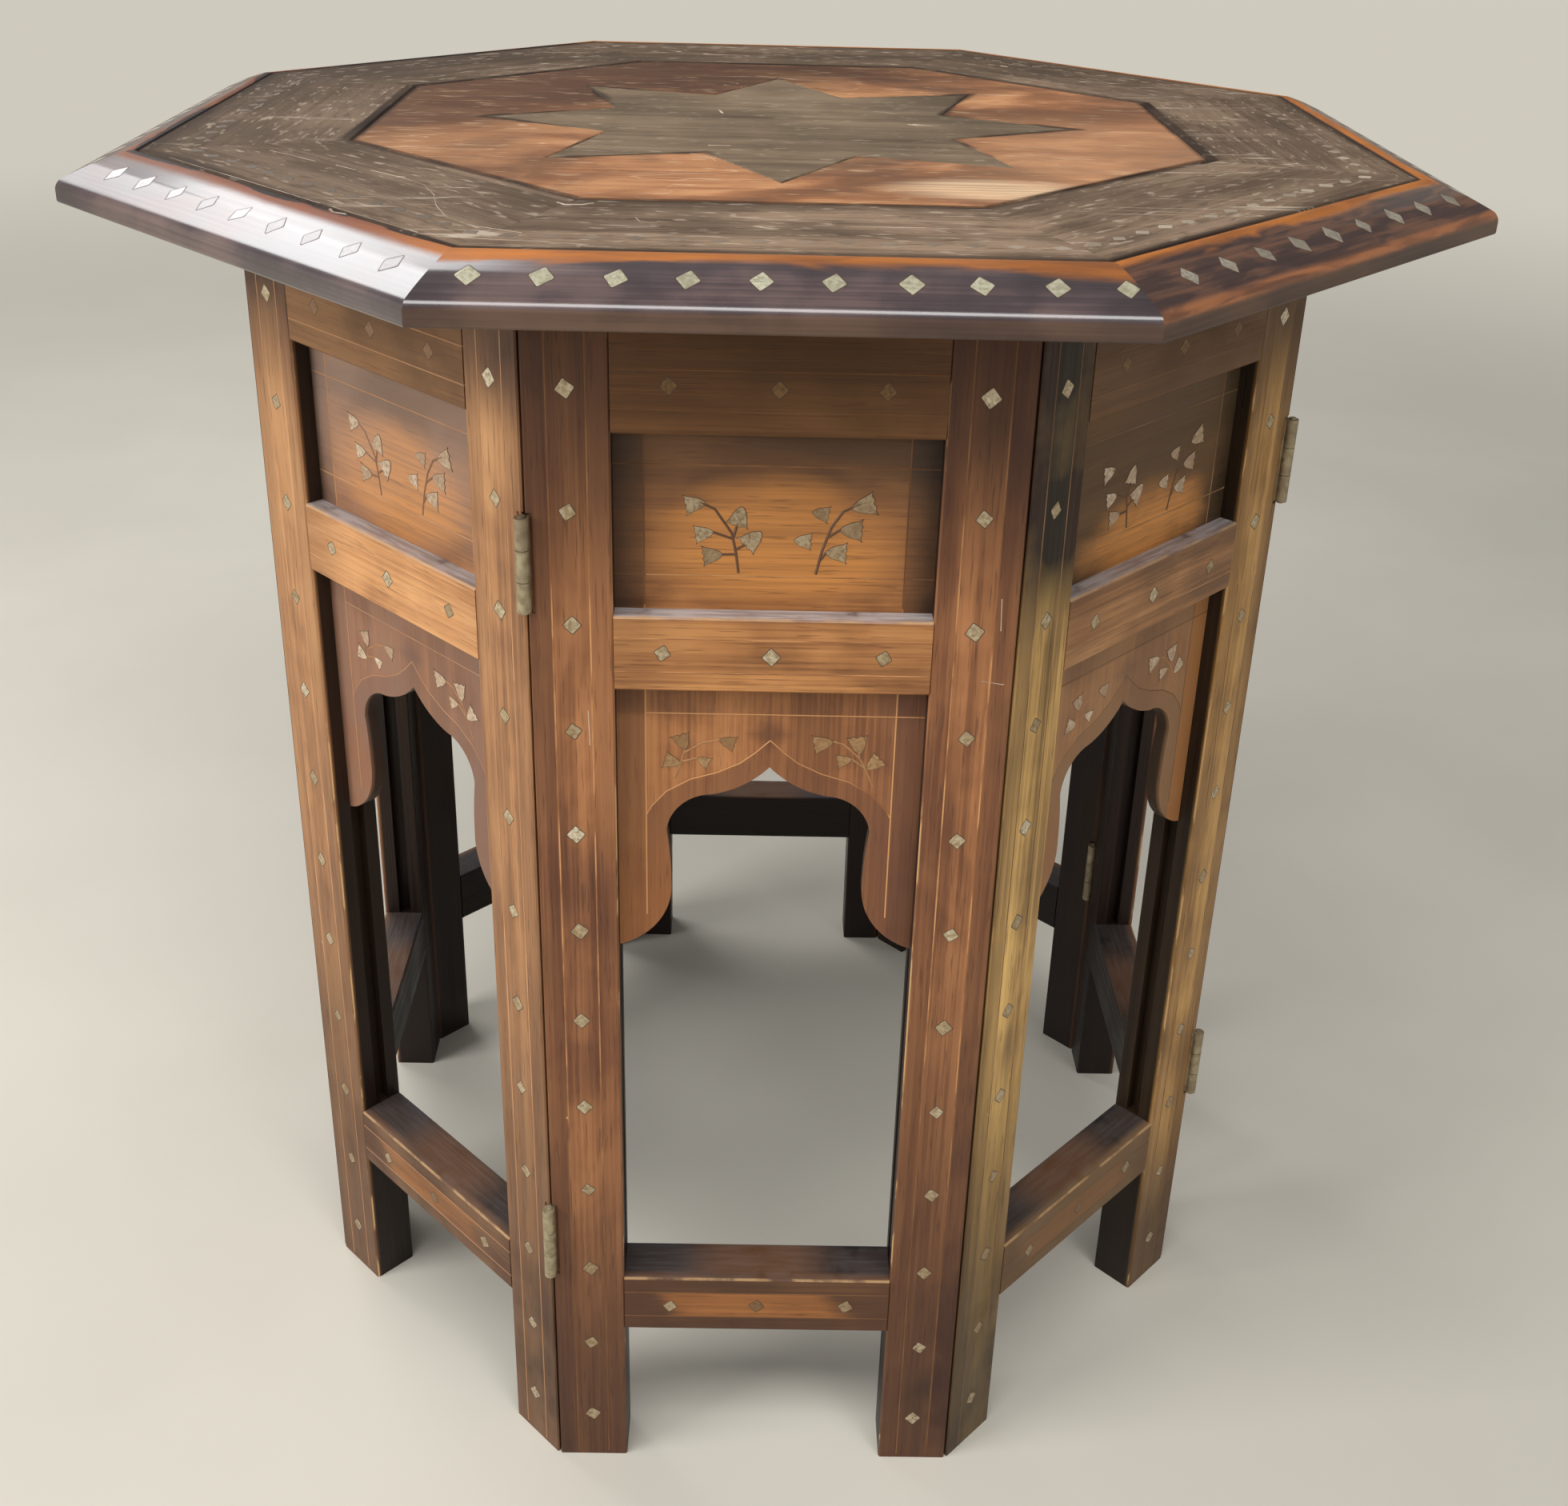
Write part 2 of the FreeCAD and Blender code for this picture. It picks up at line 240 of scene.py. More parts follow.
def stile_finish(side, hand, tones, foot, head, full=0.57, dark=(54, 35, 27), cover=0.52):
    """Finish of one stile, darker below the foot height, and painted with the shade of the overhanging
    top from the head height to full.
    """
    seed = (1.7 * side, 0, 2.9 * side)
    wood, place, grain, blotch = panel_wood(side, f"{hand}_stile", 2, seed, 17)
    bands, stains, fibres, pores = grain
    x, depth, z = place.axes()
    tone = (0.25 * bands + 0.3 * stains + 0.2 * fibres + 0.25 * blotch).fade(0, 1)
    ends = z.fade(foot, 0.02).larger(z.fade(head, full))
    outer_margin = abs(x).fade(outer_string - 0.7 * mm, outer_string + 1.3 * mm)
    inner_margin = abs(x).fade(inner_string + 0.8 * mm, inner_string - 1.4 * mm)
    outer_dirt = (0.05 + 0.35 * blotch + 0.3 * stains) * (0.4 if panels[side] == "front_left" else 1)
    reveal = depth.fade(face + 0.7 * mm, face + 2.8 * mm)
    mitred = (abs(x) + math.tan(side_turn / 2) * depth).fade(-2.2 * mm, -1.2 * mm)
    bare_mitre = wood.ramp(tone, (50, 33, 25), (88, 59, 42))
    arris = abs(x).fade(stile_edge + 0.9 * mm, stile_edge + 0.1 * mm)
    arris = arris * depth.fade(face + 1.4 * mm, face + 0.6 * mm)
    flaking = place.stretched((120, 120, 30), (side, 0, 0)).noise(1.0, 5)
    flaking = flaking + 0.1 * z.fade(0.42, 0.36) * z.fade(0.2, 0.26)
    colour = wood.coats(
        wood.ramp(tone, *tones),
        # painted shade of the overhanging top from the head height, and darkening below the foot height
        (ends * (cover + 0.25 * blotch + 0.2 * stains), dark),
        (outer_margin * outer_dirt, (62, 36, 30)),
        (inner_margin * (0.08 + 0.2 * blotch), (78, 46, 34)),
        (0.4 * pores, (54, 32, 26)),
        # painted shade: faces inside the opening near black, the mitre faces in darkish bare wood
        (0.94 * reveal, wood.mix(mitred, (20, 13, 11), bare_mitre)),
        (0.85 * arris * flaking.fade(0.55, 0.62), rubbed_wood),
        (0.6 * place.nicks(21), chipped_wood),
    )
    return oiled(wood, colour, 0.36, fibres, blotch, 0.5 * fibres - 0.6 * pores + 0.3 * stains)


red_brown = ((96, 58, 40), (148, 98, 63), (184, 126, 82))
olive_brown = ((114, 87, 49), (202, 160, 96), (246, 201, 124))
gold_brown = ((110, 78, 43), (170, 128, 74), (208, 163, 101))
# front left stiles, painted paler as the light that falls on that panel
lit_pale_brown = ((130, 90, 59), (177, 127, 85), (206, 155, 106))
dull_brown = ((88, 62, 44), (136, 102, 72), (170, 130, 94))
plain_stile = (red_brown, 0.24, 0.45)
stile_looks = {
    ("front", "right"): (red_brown, 0.42, 0.46),
    # this stile has the deepest painted shade under the top
    ("front_right", "left"): (olive_brown, 0.31, 0.43, 0.5, (40, 31, 19), 0.66),
    ("front_right", "right"): (gold_brown, 0.14, 0.5),
    ("left", "right"): (dull_brown, 0.3, 0.5),
    ("front_left", "left"): (lit_pale_brown, 0.4, 0.5),
    ("front_left", "right"): (lit_pale_brown, 0.44, 0.53),
}
for side, panel in enumerate(panels):
    for hand in ("left", "right"):
        look = stile_looks.get((panel, hand), plain_stile)
        dress(f"{panel}_panel_{hand}_stile", stile_finish(side, hand, *look))

# Rails: top, middle and foot rail of each panel, tenoned into the stiles, with the grain lying along
# them. Warmer and lighter than the stiles where hands and cloths have reached, dark at the ends,
# and dusty on the middle ledge. The foot rails are dark apart from a rubbed patch. The top rail is
# painted with the shade of the overhanging top, the faces inside the openings are painted near black
# with shade, and the foot ledge has a painted dark reflection towards its ends. The front left rails
# are painted lighter and the front right rails darker, as lit and shaded.
foot_ledge_height, middle_ledge_height = 0.118, 0.466
foot_rail_middle = 0.1015
plain_rail = ((120, 78, 48), (176, 120, 72), (212, 152, 94))
# front left rails painted lighter and front right rails darker, as lit and shaded copies of the plain
# rail
rail_tones = {
    "front_right": ((110, 78, 52), (166, 119, 79), (204, 154, 106)),
    "front_left": ((150, 100, 62), (202, 144, 92), (226, 170, 116)),
}
plain_foot = ((58, 39, 31), 0.3)
foot_looks = {"front": ((58, 39, 31), 0.7), "front_right": ((104, 80, 52), 0.3)}


def rail_finish(side):
    """Finish of a panel's three rails, each with dirt and wear of its own."""
    wood, place, grain, blotch = panel_wood(side, "rail", 0, (0, 1.3 * side, 2.1 * side), 19)
    bands, stains, fibres, pores = grain
    x, depth, z = place.axes()
    tone = (0.2 * bands + 0.3 * stains + 0.22 * fibres + 0.28 * blotch).fade(0, 1)
    top_rail, foot_rail = z.fade(0.5, 0.55), z.fade(0.2, 0.15)
    foot_tone, patch_share = foot_looks.get(panels[side], plain_foot)
    above_middle = z - foot_rail_middle
    off_patch = abs(x + 3 * mm + 0.5 * above_middle) + 6 * mm * bands + 6 * mm * blotch
    patch = off_patch.fade(0.054, 0.038) * abs(above_middle).fade(8.5 * mm, 6.6 * mm)
    rubbed = wood.ramp(tone, (150, 94, 50), (196, 128, 70))
    reveal = depth.fade(face + 1.5 * mm, face + 6.5 * mm)
    inside = depth.fade(face + 19 * mm, face + 22 * mm)
    foot_ledge = z.fade(foot_ledge_height - mm, foot_ledge_height - 0.4 * mm)
    # foot ledge: reddish-brown in the middle, near black towards the ends as a painted dark reflection
    ledge_tone_and_reflection = wood.mix(abs(x).fade(0.014, 0.042), (94, 58, 29), (31, 28, 29))
    facing_up = wood.node("NewGeometry", outputs="Normal").axes()[2].fade(0.6, 0.9)
    dust = facing_up * place.noise(55, 5).fade(0.22, 0.44) * (0.95 - 0.88 * foot_rail - 0.9 * top_rail)
    wiped = place.stretched((45, 420, 1)).noise(1.0, 4).fade(0.38, 0.62)
    off_arris = abs(z - foot_ledge_height).smaller(abs(z - middle_ledge_height))
    arris = off_arris.fade(1.1 * mm, 0.6 * mm) * depth.fade(face + 1.4 * mm, face + 0.6 * mm)
    colour = wood.coats(
        wood.ramp(tone, *rail_tones.get(panels[side], plain_rail)),
        # painted shade of the overhanging top on the top rail
        (top_rail * (0.7 + 0.2 * blotch), (66, 42, 17)),
        (foot_rail * (0.74 + 0.18 * blotch), foot_tone),
        (foot_rail * patch * (patch_share + 0.25 * stains), rubbed),
        (0.4 * abs(x).fade(0.026, 0.06) * blotch, (92, 56, 38)),
        (0.4 * pores, (74, 44, 28)),
        # painted shade: the back and the faces inside the openings near black
        (inside.larger(0.84 * reveal * (1 - foot_rail)), (24, 16, 13)),
        # painted dark reflection on the ends of the foot ledge
        (0.85 * foot_rail * reveal * foot_ledge, ledge_tone_and_reflection),
        (0.6 * place.nicks(19), chipped_wood),
        (dust, wood.mix(wiped, (206, 197, 195), (170, 158, 154))),
        (0.5 * arris * place.noise(70, 4).fade(0.4, 0.6), rubbed_wood),
    )
    return oiled(wood, colour, 0.36, fibres, blotch, 0.5 * fibres - 0.6 * pores + 0.3 * stains)


for side, panel in enumerate(panels):
    dress(f"{panel}_panel_rails", rail_finish(side))

# Upper boards: thin boards held in grooves between the top and middle rails, grain lying across.
# The lower middle is orange-brown under a painted pool of light, the strips outside the stringing are
# dark with old polish and with painted shade towards the stiles, and the part under the top rail is
# painted with the shadow of the rail and the top. A painted sheen lies over the boards of some
# panels, and their back faces are painted dark with shade.
board_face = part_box("front_panel_upper_board")[0].y
board_string = 51.5
margin_edge = ((board_string - 1) * mm, (board_string + 1) * mm)
# painted shade on the back faces of the boards, inside the table
board_inside_shade = (34, 23, 19)
# shares and tones of a painted sheen, a veil of reflected light, on each panel's boards
sheen_shares = {"front_left": 0.4, "left": 0.3, "back_left": 0.2, "front_right": 0.3}
upper_sheen_tones = {"front_right": (104, 86, 62)}
plain_glow = (0, 0.493, 0.05, 0.028, 0.48)
glows = {"front_right": (-0.002, 0.475, 0.053, 0.027, 0.76)}
plain_shadow = (0.503, 0.526)
shadows = {"front_right": (0.44, 0.462)}


def upper_board_finish(side):
    """Finish of one upper board, with a painted pool of light at its own place, width, height and
    strength.
    """
    wood, place, grain, blotch = panel_wood(side, "upper_board", 0, (0.4, 1.9 * side, 1.1 * side), 24)
    bands, stains, fibres, pores = grain
    x, depth, z = place.axes()
    tone = (0.2 * bands + 0.25 * stains + 0.22 * fibres + 0.33 * blotch).fade(0, 1)
    glow_x, glow_z, glow_width, glow_height, glow_share = glows.get(panels[side], plain_glow)
    off_x, off_z = (x - glow_x) * (1 / glow_width), (z - glow_z) * (1 / glow_height)
    glow = (off_x * off_x + off_z * off_z + 0.5 * stains + 0.3 * blotch - 0.4).fade(1.2, 0.1)
    rail_shadow = z.fade(*shadows.get(panels[side], plain_shadow))
    margin = abs(x).fade(*margin_edge)
    corner = abs(x).fade(0.046, 0.0635)
    painted_sheen = sheen_shares.get(panels[side], 0.05) * (0.4 + 0.4 * blotch + 0.5 * z.fade(0.474, 0.512))
    colour = wood.coats(
        wood.ramp(tone, (124, 80, 48), (174, 116, 66), (204, 142, 82)),
        (0.3 * stains.fade(0.4, 0.1), (100, 62, 38)),
        # painted shadow of the top rail and the overhanging top
        (rail_shadow * (0.68 + 0.25 * stains), (70, 48, 29)),
        # painted pool of light over the board's own orange-brown
        (glow * (glow_share + 0.26 * fibres), (226, 152, 78)),
        # dark wood outside the stringing, deepened by painted shade towards the stiles
        (margin * (0.35 + 0.2 * stains) + 0.42 * corner, (42, 26, 16)),
        (0.4 * pores, (76, 46, 28)),
        # painted sheen
        (painted_sheen, upper_sheen_tones.get(panels[side], (170, 142, 126))),
        (0.84 * depth.fade(board_face + 1.5 * mm, board_face + 4 * mm), board_inside_shade),
        (0.6 * place.nicks(23), chipped_wood),
    )
    return oiled(wood, colour, 0.38, fibres, blotch, 0.5 * fibres - 0.6 * pores + 0.3 * stains)


for side, panel in enumerate(panels):
    dress(f"{panel}_panel_upper_board", upper_board_finish(side))

# Arch boards: boards below the middle rails, fretted to a pointed ogee arch with lobed feet. The
# spandrels are orange-brown, and the strip along the sawn edge and the lobes is darker. The shadow of
# the middle rail is painted along the top, a painted sheen lies over the boards of some panels, and
# the back faces are painted dark with shade.
arch_string = 418.7
arch_line = (
    (0, 406.7), (6, 400.8), (12, 395.9), (22, 391),
    (33, 387.6), (43, 381.6), (49, 374.6), (board_string, 370),
)
arch_tip, arch_foot = arch_line[0][1] * mm, arch_line[-1][1] * mm
arch_rise = arch_tip - arch_foot
arch_stops = [(x / board_string, (*[(z * mm - arch_foot) / arch_rise] * 3, 1)) for x, z in arch_line]
arch_sheen_tones = {"front_right": (156, 125, 92)}


def arch_board_finish(side):
    """Finish of one arch board, darker below the line of stringing that follows the arch."""
    wood, place, grain, blotch = panel_wood(side, "arch_board", 2, (2.3 * side, 0.7, 1.7 * side), 26)
    bands, stains, fibres, pores = grain
    x, depth, z = place.axes()
    tone = (0.25 * bands + 0.45 * blotch + 0.3 * fibres).fade(0, 1)
    rail_shadow = z.fade((arch_string - 2.2) * mm, (arch_string + 0.8) * mm)
    margin = abs(x).fade(*margin_edge)
    lobe = z.fade(0.385, 0.32)
    right_side = x.fade(0.018, 0.056)
    line = wood.node("ValToRGB", {"stops": arch_stops}, {"Fac": abs(x) * (1 / (board_string * mm))})
    line_height = arch_foot + arch_rise * wood.node("RGBToBW", sockets={"Color": line})
    below_line = (z - line_height).fade(1.5 * mm, -1.5 * mm) * (1 - margin)
    above_tip = (abs(x) + abs(z - arch_tip - 3 * mm)).fade(0.013, 0.002)
    painted_sheen = sheen_shares.get(panels[side], 0.03) * (1.1 + 0.8 * blotch)
    bright_margin = 0.6 if panels[side] == "front_right" else 0.0
    colour = wood.coats(
        wood.ramp(tone, (122, 78, 48), (164, 108, 66), (190, 130, 80)),
        (below_line * (0.38 + 0.25 * blotch), (100, 62, 43)),
        (0.65 * above_tip, (84, 52, 38)),
        # painted shadow under the middle rail
        (rail_shadow * (0.18 + 0.18 * stains), (80, 54, 38)),
        (margin * (0.2 + 0.2 * stains + 0.3 * right_side), (74, 45, 36)),
        (right_side * (0.2 + 0.25 * blotch), (92, 58, 48)),
        (0.5 * lobe * x.fade(0.01, -0.03), (168, 106, 58)),
        (0.35 * pores, (78, 48, 32)),
        # painted sheen
        (painted_sheen, arch_sheen_tones.get(panels[side], (134, 104, 90))),
        (bright_margin * x.fade(*margin_edge), (176, 116, 62)),
        (0.84 * depth.fade(board_face + 0.5 * mm, board_face + 2.5 * mm), board_inside_shade),
    )
    return oiled(wood, colour, 0.4, fibres, blotch, 0.4 * fibres - 0.5 * pores + 0.3 * blotch)


for side, panel in enumerate(panels):
    dress(f"{panel}_panel_arch_board", arch_board_finish(side))

# Stringing: narrow lines of pale wood let into the frames and boards. Two run down each stile and
# along each rail, and others frame the boards and follow the arch.
string_radius, string_depth = 0.55 * mm, 0.4 * mm
rail_strings = (567.5, 552.0, 456.7, 442.0, 109.0, 94.0)
upper_strings = (527.0, 480.6)


def start_from(primitive, **sizes):
    """A new primitive as the one selected object, to be shaped into a piece."""
    bpy.ops.object.select_all(action="DESELECT")
    primitive(**sizes)
    return bpy.context.object


def open_whole():
    """Opens the active piece in edit mode with all of it selected."""
    bpy.ops.object.mode_set(mode="EDIT")
    bpy.ops.mesh.select_all(action="SELECT")


def shut():
    bpy.ops.object.mode_set(mode="OBJECT")


def alone(piece):
    """Makes a piece the one selected object."""
    bpy.ops.object.select_all(action="DESELECT")
    piece.select_set(True)
    bpy.context.view_layer.objects.active = piece


def copied(piece):
    alone(piece)
    bpy.ops.object.duplicate()
    return bpy.context.object


def chain(points):
    """A new piece that is one line of edges, drawn point by point."""
    piece = start_from(bpy.ops.mesh.primitive_plane_add, size=mm)
    open_whole()
    bpy.ops.mesh.merge(type="CENTER")
    bpy.ops.transform.translate(value=points[0])
    for start, end in zip(points, points[1:]):
        step = Vector(end) - Vector(start)
        bpy.ops.mesh.extrude_vertices_move(TRANSFORM_OT_translate={"value": step})
    shut()
    return piece


def joined(pieces, name):
    """Several pieces as one, at the origin."""
    alone(pieces[0])
    for piece in pieces:
        piece.select_set(True)
    bpy.ops.object.join()
    bpy.ops.object.transform_apply(location=True, rotation=True, scale=True)
    pieces[0].name = name
    return pieces[0]


def wired(piece, radius):
    """Turns a piece of bare edges into thin rods."""
    alone(piece)
    bpy.ops.object.convert(target="CURVE")
    piece.data.bevel_depth = radius
    piece.data.bevel_resolution = 1
    piece.data.use_fill_caps = True
    bpy.ops.object.convert(target="MESH")
    return piece


def turned(piece, side):
    """Turns a piece from the front to another side of the table."""
    alone(piece)
    piece.rotation_euler.z = side_turn * side
    bpy.ops.object.transform_apply(location=False, rotation=True, scale=False)
    return piece


def on_every_side(front, label):
    """Copies a piece of the front panel to the other panels, and makes each ride on its panel."""
    for side, panel in enumerate(panels):
        piece = turned(copied(front), side) if side else front
        piece.name = f"{panel}_{label}"
        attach(piece, f"{panel}_panel")


def string_line(points, surface):
    return chain([(x * mm, surface + string_depth, z * mm) for x, z in points])


frame_lines = [((way * x, 2), (way * x, 598)) for x in stile_strings for way in (-1, 1)]
frame_lines += [((-opening, z), (opening, z)) for z in rail_strings]
board_lines = [((-opening, z), (opening, z)) for z in upper_strings]
board_lines.append(((-board_string, arch_string), (opening, arch_string)))
for way in (-1, 1):
    board_lines.append(((way * board_string, 466), (way * board_string, 542)))
    board_lines.append(((way * board_string, 320), (way * board_string, 433)))
    board_lines.append([(way * x, z) for x, z in arch_line])
strings = [string_line(line, face) for line in frame_lines]
strings += [string_line(line, board_face) for line in board_lines]
stringing = wired(joined(strings, "front_stringing"), string_radius)


def string_wood(name, clean, rubbed, dirty, front, low):
    """Pale wood, browned in places, dirty at the foot and, by the share low, on the arch board, and
    painted with the shade of the top under it. On the front, that board's lines are clean and the upper
    board's uprights lost."""
    pale = Finish(name)
    place = pale.place()
    x, _, z = place.axes()
    worn = place.noise(38, 5).fade(0.36, 0.6)
    on_arch = z.fade(0.4335, 0.4325) * z.fade(0.31, 0.312)
    # dirt at the foot and on the arch board, and painted shade of the top under it
    dirt = z.fade(0.3, 0.12).larger(z.fade(0.46, 0.56)).larger(low * on_arch)
    if front:
        on_arch = on_arch * abs(x).fade(0.056, 0.055)
        on_line = z.fade(0.411, 0.409) * x.fade(-0.002, 0.008) * x.fade(0.051, 0.0498)
        worn = worn * (1 - on_arch) + (0.45 + 0.55 * x.fade(0.028, 0.042)) * on_arch * on_line
        uprights = z.fade(0.4672, 0.468) * abs(x).fade(0.0505, 0.051) * abs(x).fade(0.066, 0.064)
        dirt = dirt.larger(uprights)
    return pale.surface(
        Base_Color=pale.mix(0.85 * dirt, pale.mix(worn, clean, rubbed), dirty),
        Roughness=0.45 + 0.2 * worn,
        Specular_IOR_Level=0.3,
    )


pale_string = string_wood("pale_stringing", (206, 150, 98), (150, 99, 61), (100, 67, 41), True, 0.0)
faint_string = string_wood("faint_stringing", (206, 156, 112), (180, 130, 88), (168, 122, 86), False, 0.8)
lost_string = string_wood("lost_stringing", (178, 138, 96), (138, 102, 70), (108, 82, 58), False, 0.9)
stringing.data.materials.append(pale_string)
on_every_side(stringing, "stringing")
for panel in panels[1:]:
    string = lost_string if panel == "front_right" else faint_string
    bpy.data.objects[f"{panel}_stringing"].data.materials[0] = string

# Diamonds: lozenges of sheet brass let into the stiles and rails, each in a thin line of dark
# mastic. Cut and set by hand, so they sit a little askew, and the brass has gone grey-green.
dice = random.Random(8)
diamond_height, diamond_width = 8.2 * mm, 7.6 * mm
mastic_rim = 0.32 * mm
inlay_depth = 0.5 * mm
stile_diamond = 79.7
stile_diamonds = [558.7 - 48.3 * i for i in range(12)]
top_rail_diamonds, *lower_rail_diamonds = ((560.5, 41), (450, 44), (101, 42))


def inlay_brass(name, dirt, dull, middle, bright, metal, lacquer=0.0):
    """Sheet brass, mottled and dirty, with a tone of its own for every lozenge or leaf."""
    brass = Finish(name)
    place = brass.place()
    mottle = place.noise(480, 4).fade(0.34, 0.66)
    grime = place.stretched((1, 1, 1), (3, 5, 2)).noise(620, 3, 0.5).fade(0.5, 0.64)
    own = brass.node("NewGeometry", outputs="Random Per Island")
    tone = 0.6 * own + 0.4 * mottle
    dirty = grime * (0.35 + 0.3 * own) + 0.3 * place.axes()[2].fade(0.3, 0.12)
    return brass.surface(
        Base_Color=brass.mix(dirty, brass.ramp(tone, dull, middle, bright), dirt),
        Metallic=metal * (0.4 + 0.6 * tone),
        Roughness=0.5 - 0.14 * own + 0.16 * mottle,
        Coat_Weight=lacquer,
        Coat_Roughness=0.16,
        Normal=brass.bumps(mottle, 0.08 * mm),
    )


panel_brass = inlay_brass(
    "panel_brass", (120, 90, 60), (138, 112, 74), (182, 164, 130), (222, 210, 184), 0.4)
browned_brass = inlay_brass(
    "browned_brass", (76, 52, 30), (84, 58, 32), (104, 74, 40), (132, 102, 58), 0.3)
faded_brass = inlay_brass(
    "faded_brass", (104, 74, 46), (108, 77, 49), (122, 88, 56), (138, 101, 65), 0.05)


def gritty(name, scale, dark, light, roughness, spread):
    """A dull finish speckled between two colours."""
    dull = Finish(name)
    grit = dull.place().noise(scale, 3)
    return dull.surface(Base_Color=dull.ramp(grit, dark, light), Roughness=roughness + spread * grit)


dark_mastic = gritty("dark_mastic", 700, (52, 34, 26), (92, 62, 44), 0.5, 0.3)


def extrude(step):
    bpy.ops.mesh.extrude_region_move(TRANSFORM_OT_translate={"value": step})


def face_outwards():
    """Makes every face of the open piece point outwards."""
    bpy.ops.mesh.select_all(action="SELECT")
    bpy.ops.mesh.normals_make_consistent(inside=False)


def open_where(piece, kind, wanted):
    """Opens a piece with only those of its vertices, edges or polygons selected that pass a test."""
    bpy.ops.object.mode_set(mode="EDIT")
    bpy.ops.mesh.select_all(action="DESELECT")
    shut()
    for part in getattr(piece.data, kind):
        part.select = wanted(part)
    bpy.ops.object.mode_set(mode="EDIT")


def diamond(height, width, materials, fold=0.0):
    """A lozenge in its bed, at the origin, upright and facing -Y. Its points may be folded back."""
    piece = start_from(bpy.ops.mesh.primitive_plane_add, size=math.sqrt(0.5), location=(0, 0, 0))
    for material in materials:
        piece.data.materials.append(material)
    open_whole()
    bpy.ops.transform.rotate(value=math.radians(45), orient_axis="Z", center_override=(0, 0, 0))
    bpy.ops.transform.resize(value=(width + 2 * mastic_rim, height + 2 * mastic_rim, 1))
    bpy.ops.mesh.bevel(offset=width * 0.07, affect="VERTICES")
    bpy.ops.mesh.select_all(action="SELECT")
    bpy.ops.transform.translate(value=(0, 0, -inlay_depth))
    extrude((0, 0, inlay_depth + 0.04 * mm))
    bpy.ops.mesh.inset(thickness=mastic_rim)
    extrude((0, 0, 0.06 * mm))
    bpy.ops.transform.resize(value=(0.9, 0.9, 1))
    piece.active_material_index = 1
    bpy.ops.mesh.select_more()
    bpy.ops.object.material_slot_assign()
    face_outwards()
    bpy.ops.mesh.bisect(plane_co=(0, 0, 0), plane_no=(0, 1, 0))
    shut()
    open_where(piece, "vertices", lambda vertex: abs(vertex.co.y) > height / 4)
    bpy.ops.transform.translate(value=(0, 0, -fold))
    shut()
    piece.rotation_euler.x = math.pi / 2
    bpy.ops.object.transform_apply(location=False, rotation=True, scale=False)
    return piece


def spread(pattern, name, places):
    """Copies of a small piece, each with a place, a turn and a size, joined as one."""
    copies = []
    for place, turn, size in places:
        copy = copied(pattern)
        copy.location = place
        copy.rotation_mode = "YXZ"
        copy.rotation_euler = turn
        copy.scale = (size, size, size)
        copies.append(copy)
    bpy.data.objects.remove(pattern)
    return joined(copies, name)


def askew():
    return dice.uniform(-0.22, 0.22)


def off_mark():
    return dice.uniform(-0.8, 0.8)


def set_diamonds(spots, metal, name):
    """Lozenges at points of the front panel, each a little off its mark."""
    places = []
    for x, z in spots:
        place = ((x + dice.uniform(-0.6, 0.6)) * mm, face, (z + off_mark()) * mm)
        places.append((place, (0, askew(), 0), dice.uniform(0.9, 1.08)))
    return spread(diamond(diamond_height, diamond_width, (dark_mastic, metal)), name, places)


def rail_spots(height, reach):
    return [(way * reach, height) for way in (-1, 0, 1)]


bright_spots = [(way * stile_diamond, z) for way in (-1, 1) for z in stile_diamonds]
for row in lower_rail_diamonds:
    bright_spots += rail_spots(*row)
faded_spots = [bright_spots.pop(-2)]
diamonds = joined([
    set_diamonds(bright_spots, panel_brass, "bright_diamonds"),
    set_diamonds(rail_spots(*top_rail_diamonds), browned_brass, "dull_diamonds"),
    set_diamonds(faded_spots, faded_brass, "faded_diamonds"),
], "front_diamonds")
on_every_side(diamonds, "diamonds")


def change_finish(piece_name, old, new):
    """Gives one piece a finish of its own in place of the common one."""
    materials = bpy.data.objects[piece_name].data.materials
    materials[materials.find(old.name)] = new


change_finish("front_left_diamonds", browned_brass, faded_brass)

# Leaf sprays: small bell-shaped leaves of sheet brass on dark stems, two sprays on each upper board
# and one in each spandrel of the arch. Every leaf has a narrow end and a scalloped mouth.
leaf_outline = (
    (0, 0.05), (0.12, 0.17), (0.32, 0.3), (0.58, 0.38), (0.84, 0.46), (1, 0.56),
    (0.92, 0.34), (1, 0.16), (0.9, 0),
)
stem_radius = 0.82 * mm
upper_leaves = (
    (29.6, 510.3, 38.8, 512.8), (25.2, 501.2, 34.2, 501.0), (19.8, 491.5, 28.4, 491.3),
    (14.0, 508.5, 20.9, 507.3), (7.2, 496.4, 14.4, 496.0),
    (-20.6, 489.9, -28.7, 488.9), (-24.4, 499.3, -31.8, 498.0), (-27.7, 511.6, -35.7, 510.2),
    (-13.0, 510.1, -15.4, 501.8), (-5.5, 499.7, -12.1, 493.4),
)
arch_leaves = (
    (26.0, 406.7, 17.6, 405.0), (37.2, 401.1, 35.7, 409.5), (34.0, 398.6, 27.7, 397.2),
    (40.4, 393.9, 46.1, 399.3),
    (-35.1, 401.7, -37.6, 409.0), (-21.1, 406.7, -14.4, 404.5), (-36.9, 395.0, -44.1, 396.9),
    (-30.1, 397.8, -25.0, 395.0),
)
upper_stems = (
    ((16.2, 482), (18.4, 492.2), (21.8, 502.2), (26.2, 508.9), (32.9, 512.3)),
    ((-14.3, 482), (-15.4, 490.5), (-17.1, 498.9), (-23.8, 508.9), (-29.3, 511.6)),
    ((-15.2, 490), (-21, 489.8)), ((-16.6, 496.5), (-24.4, 499.2)), ((-15.6, 492), (-12, 494)),
    ((-16.6, 496.5), (-15.2, 502)), ((17.3, 487.5), (20, 491.4)), ((20.2, 497.6), (25.2, 501.2)),
)
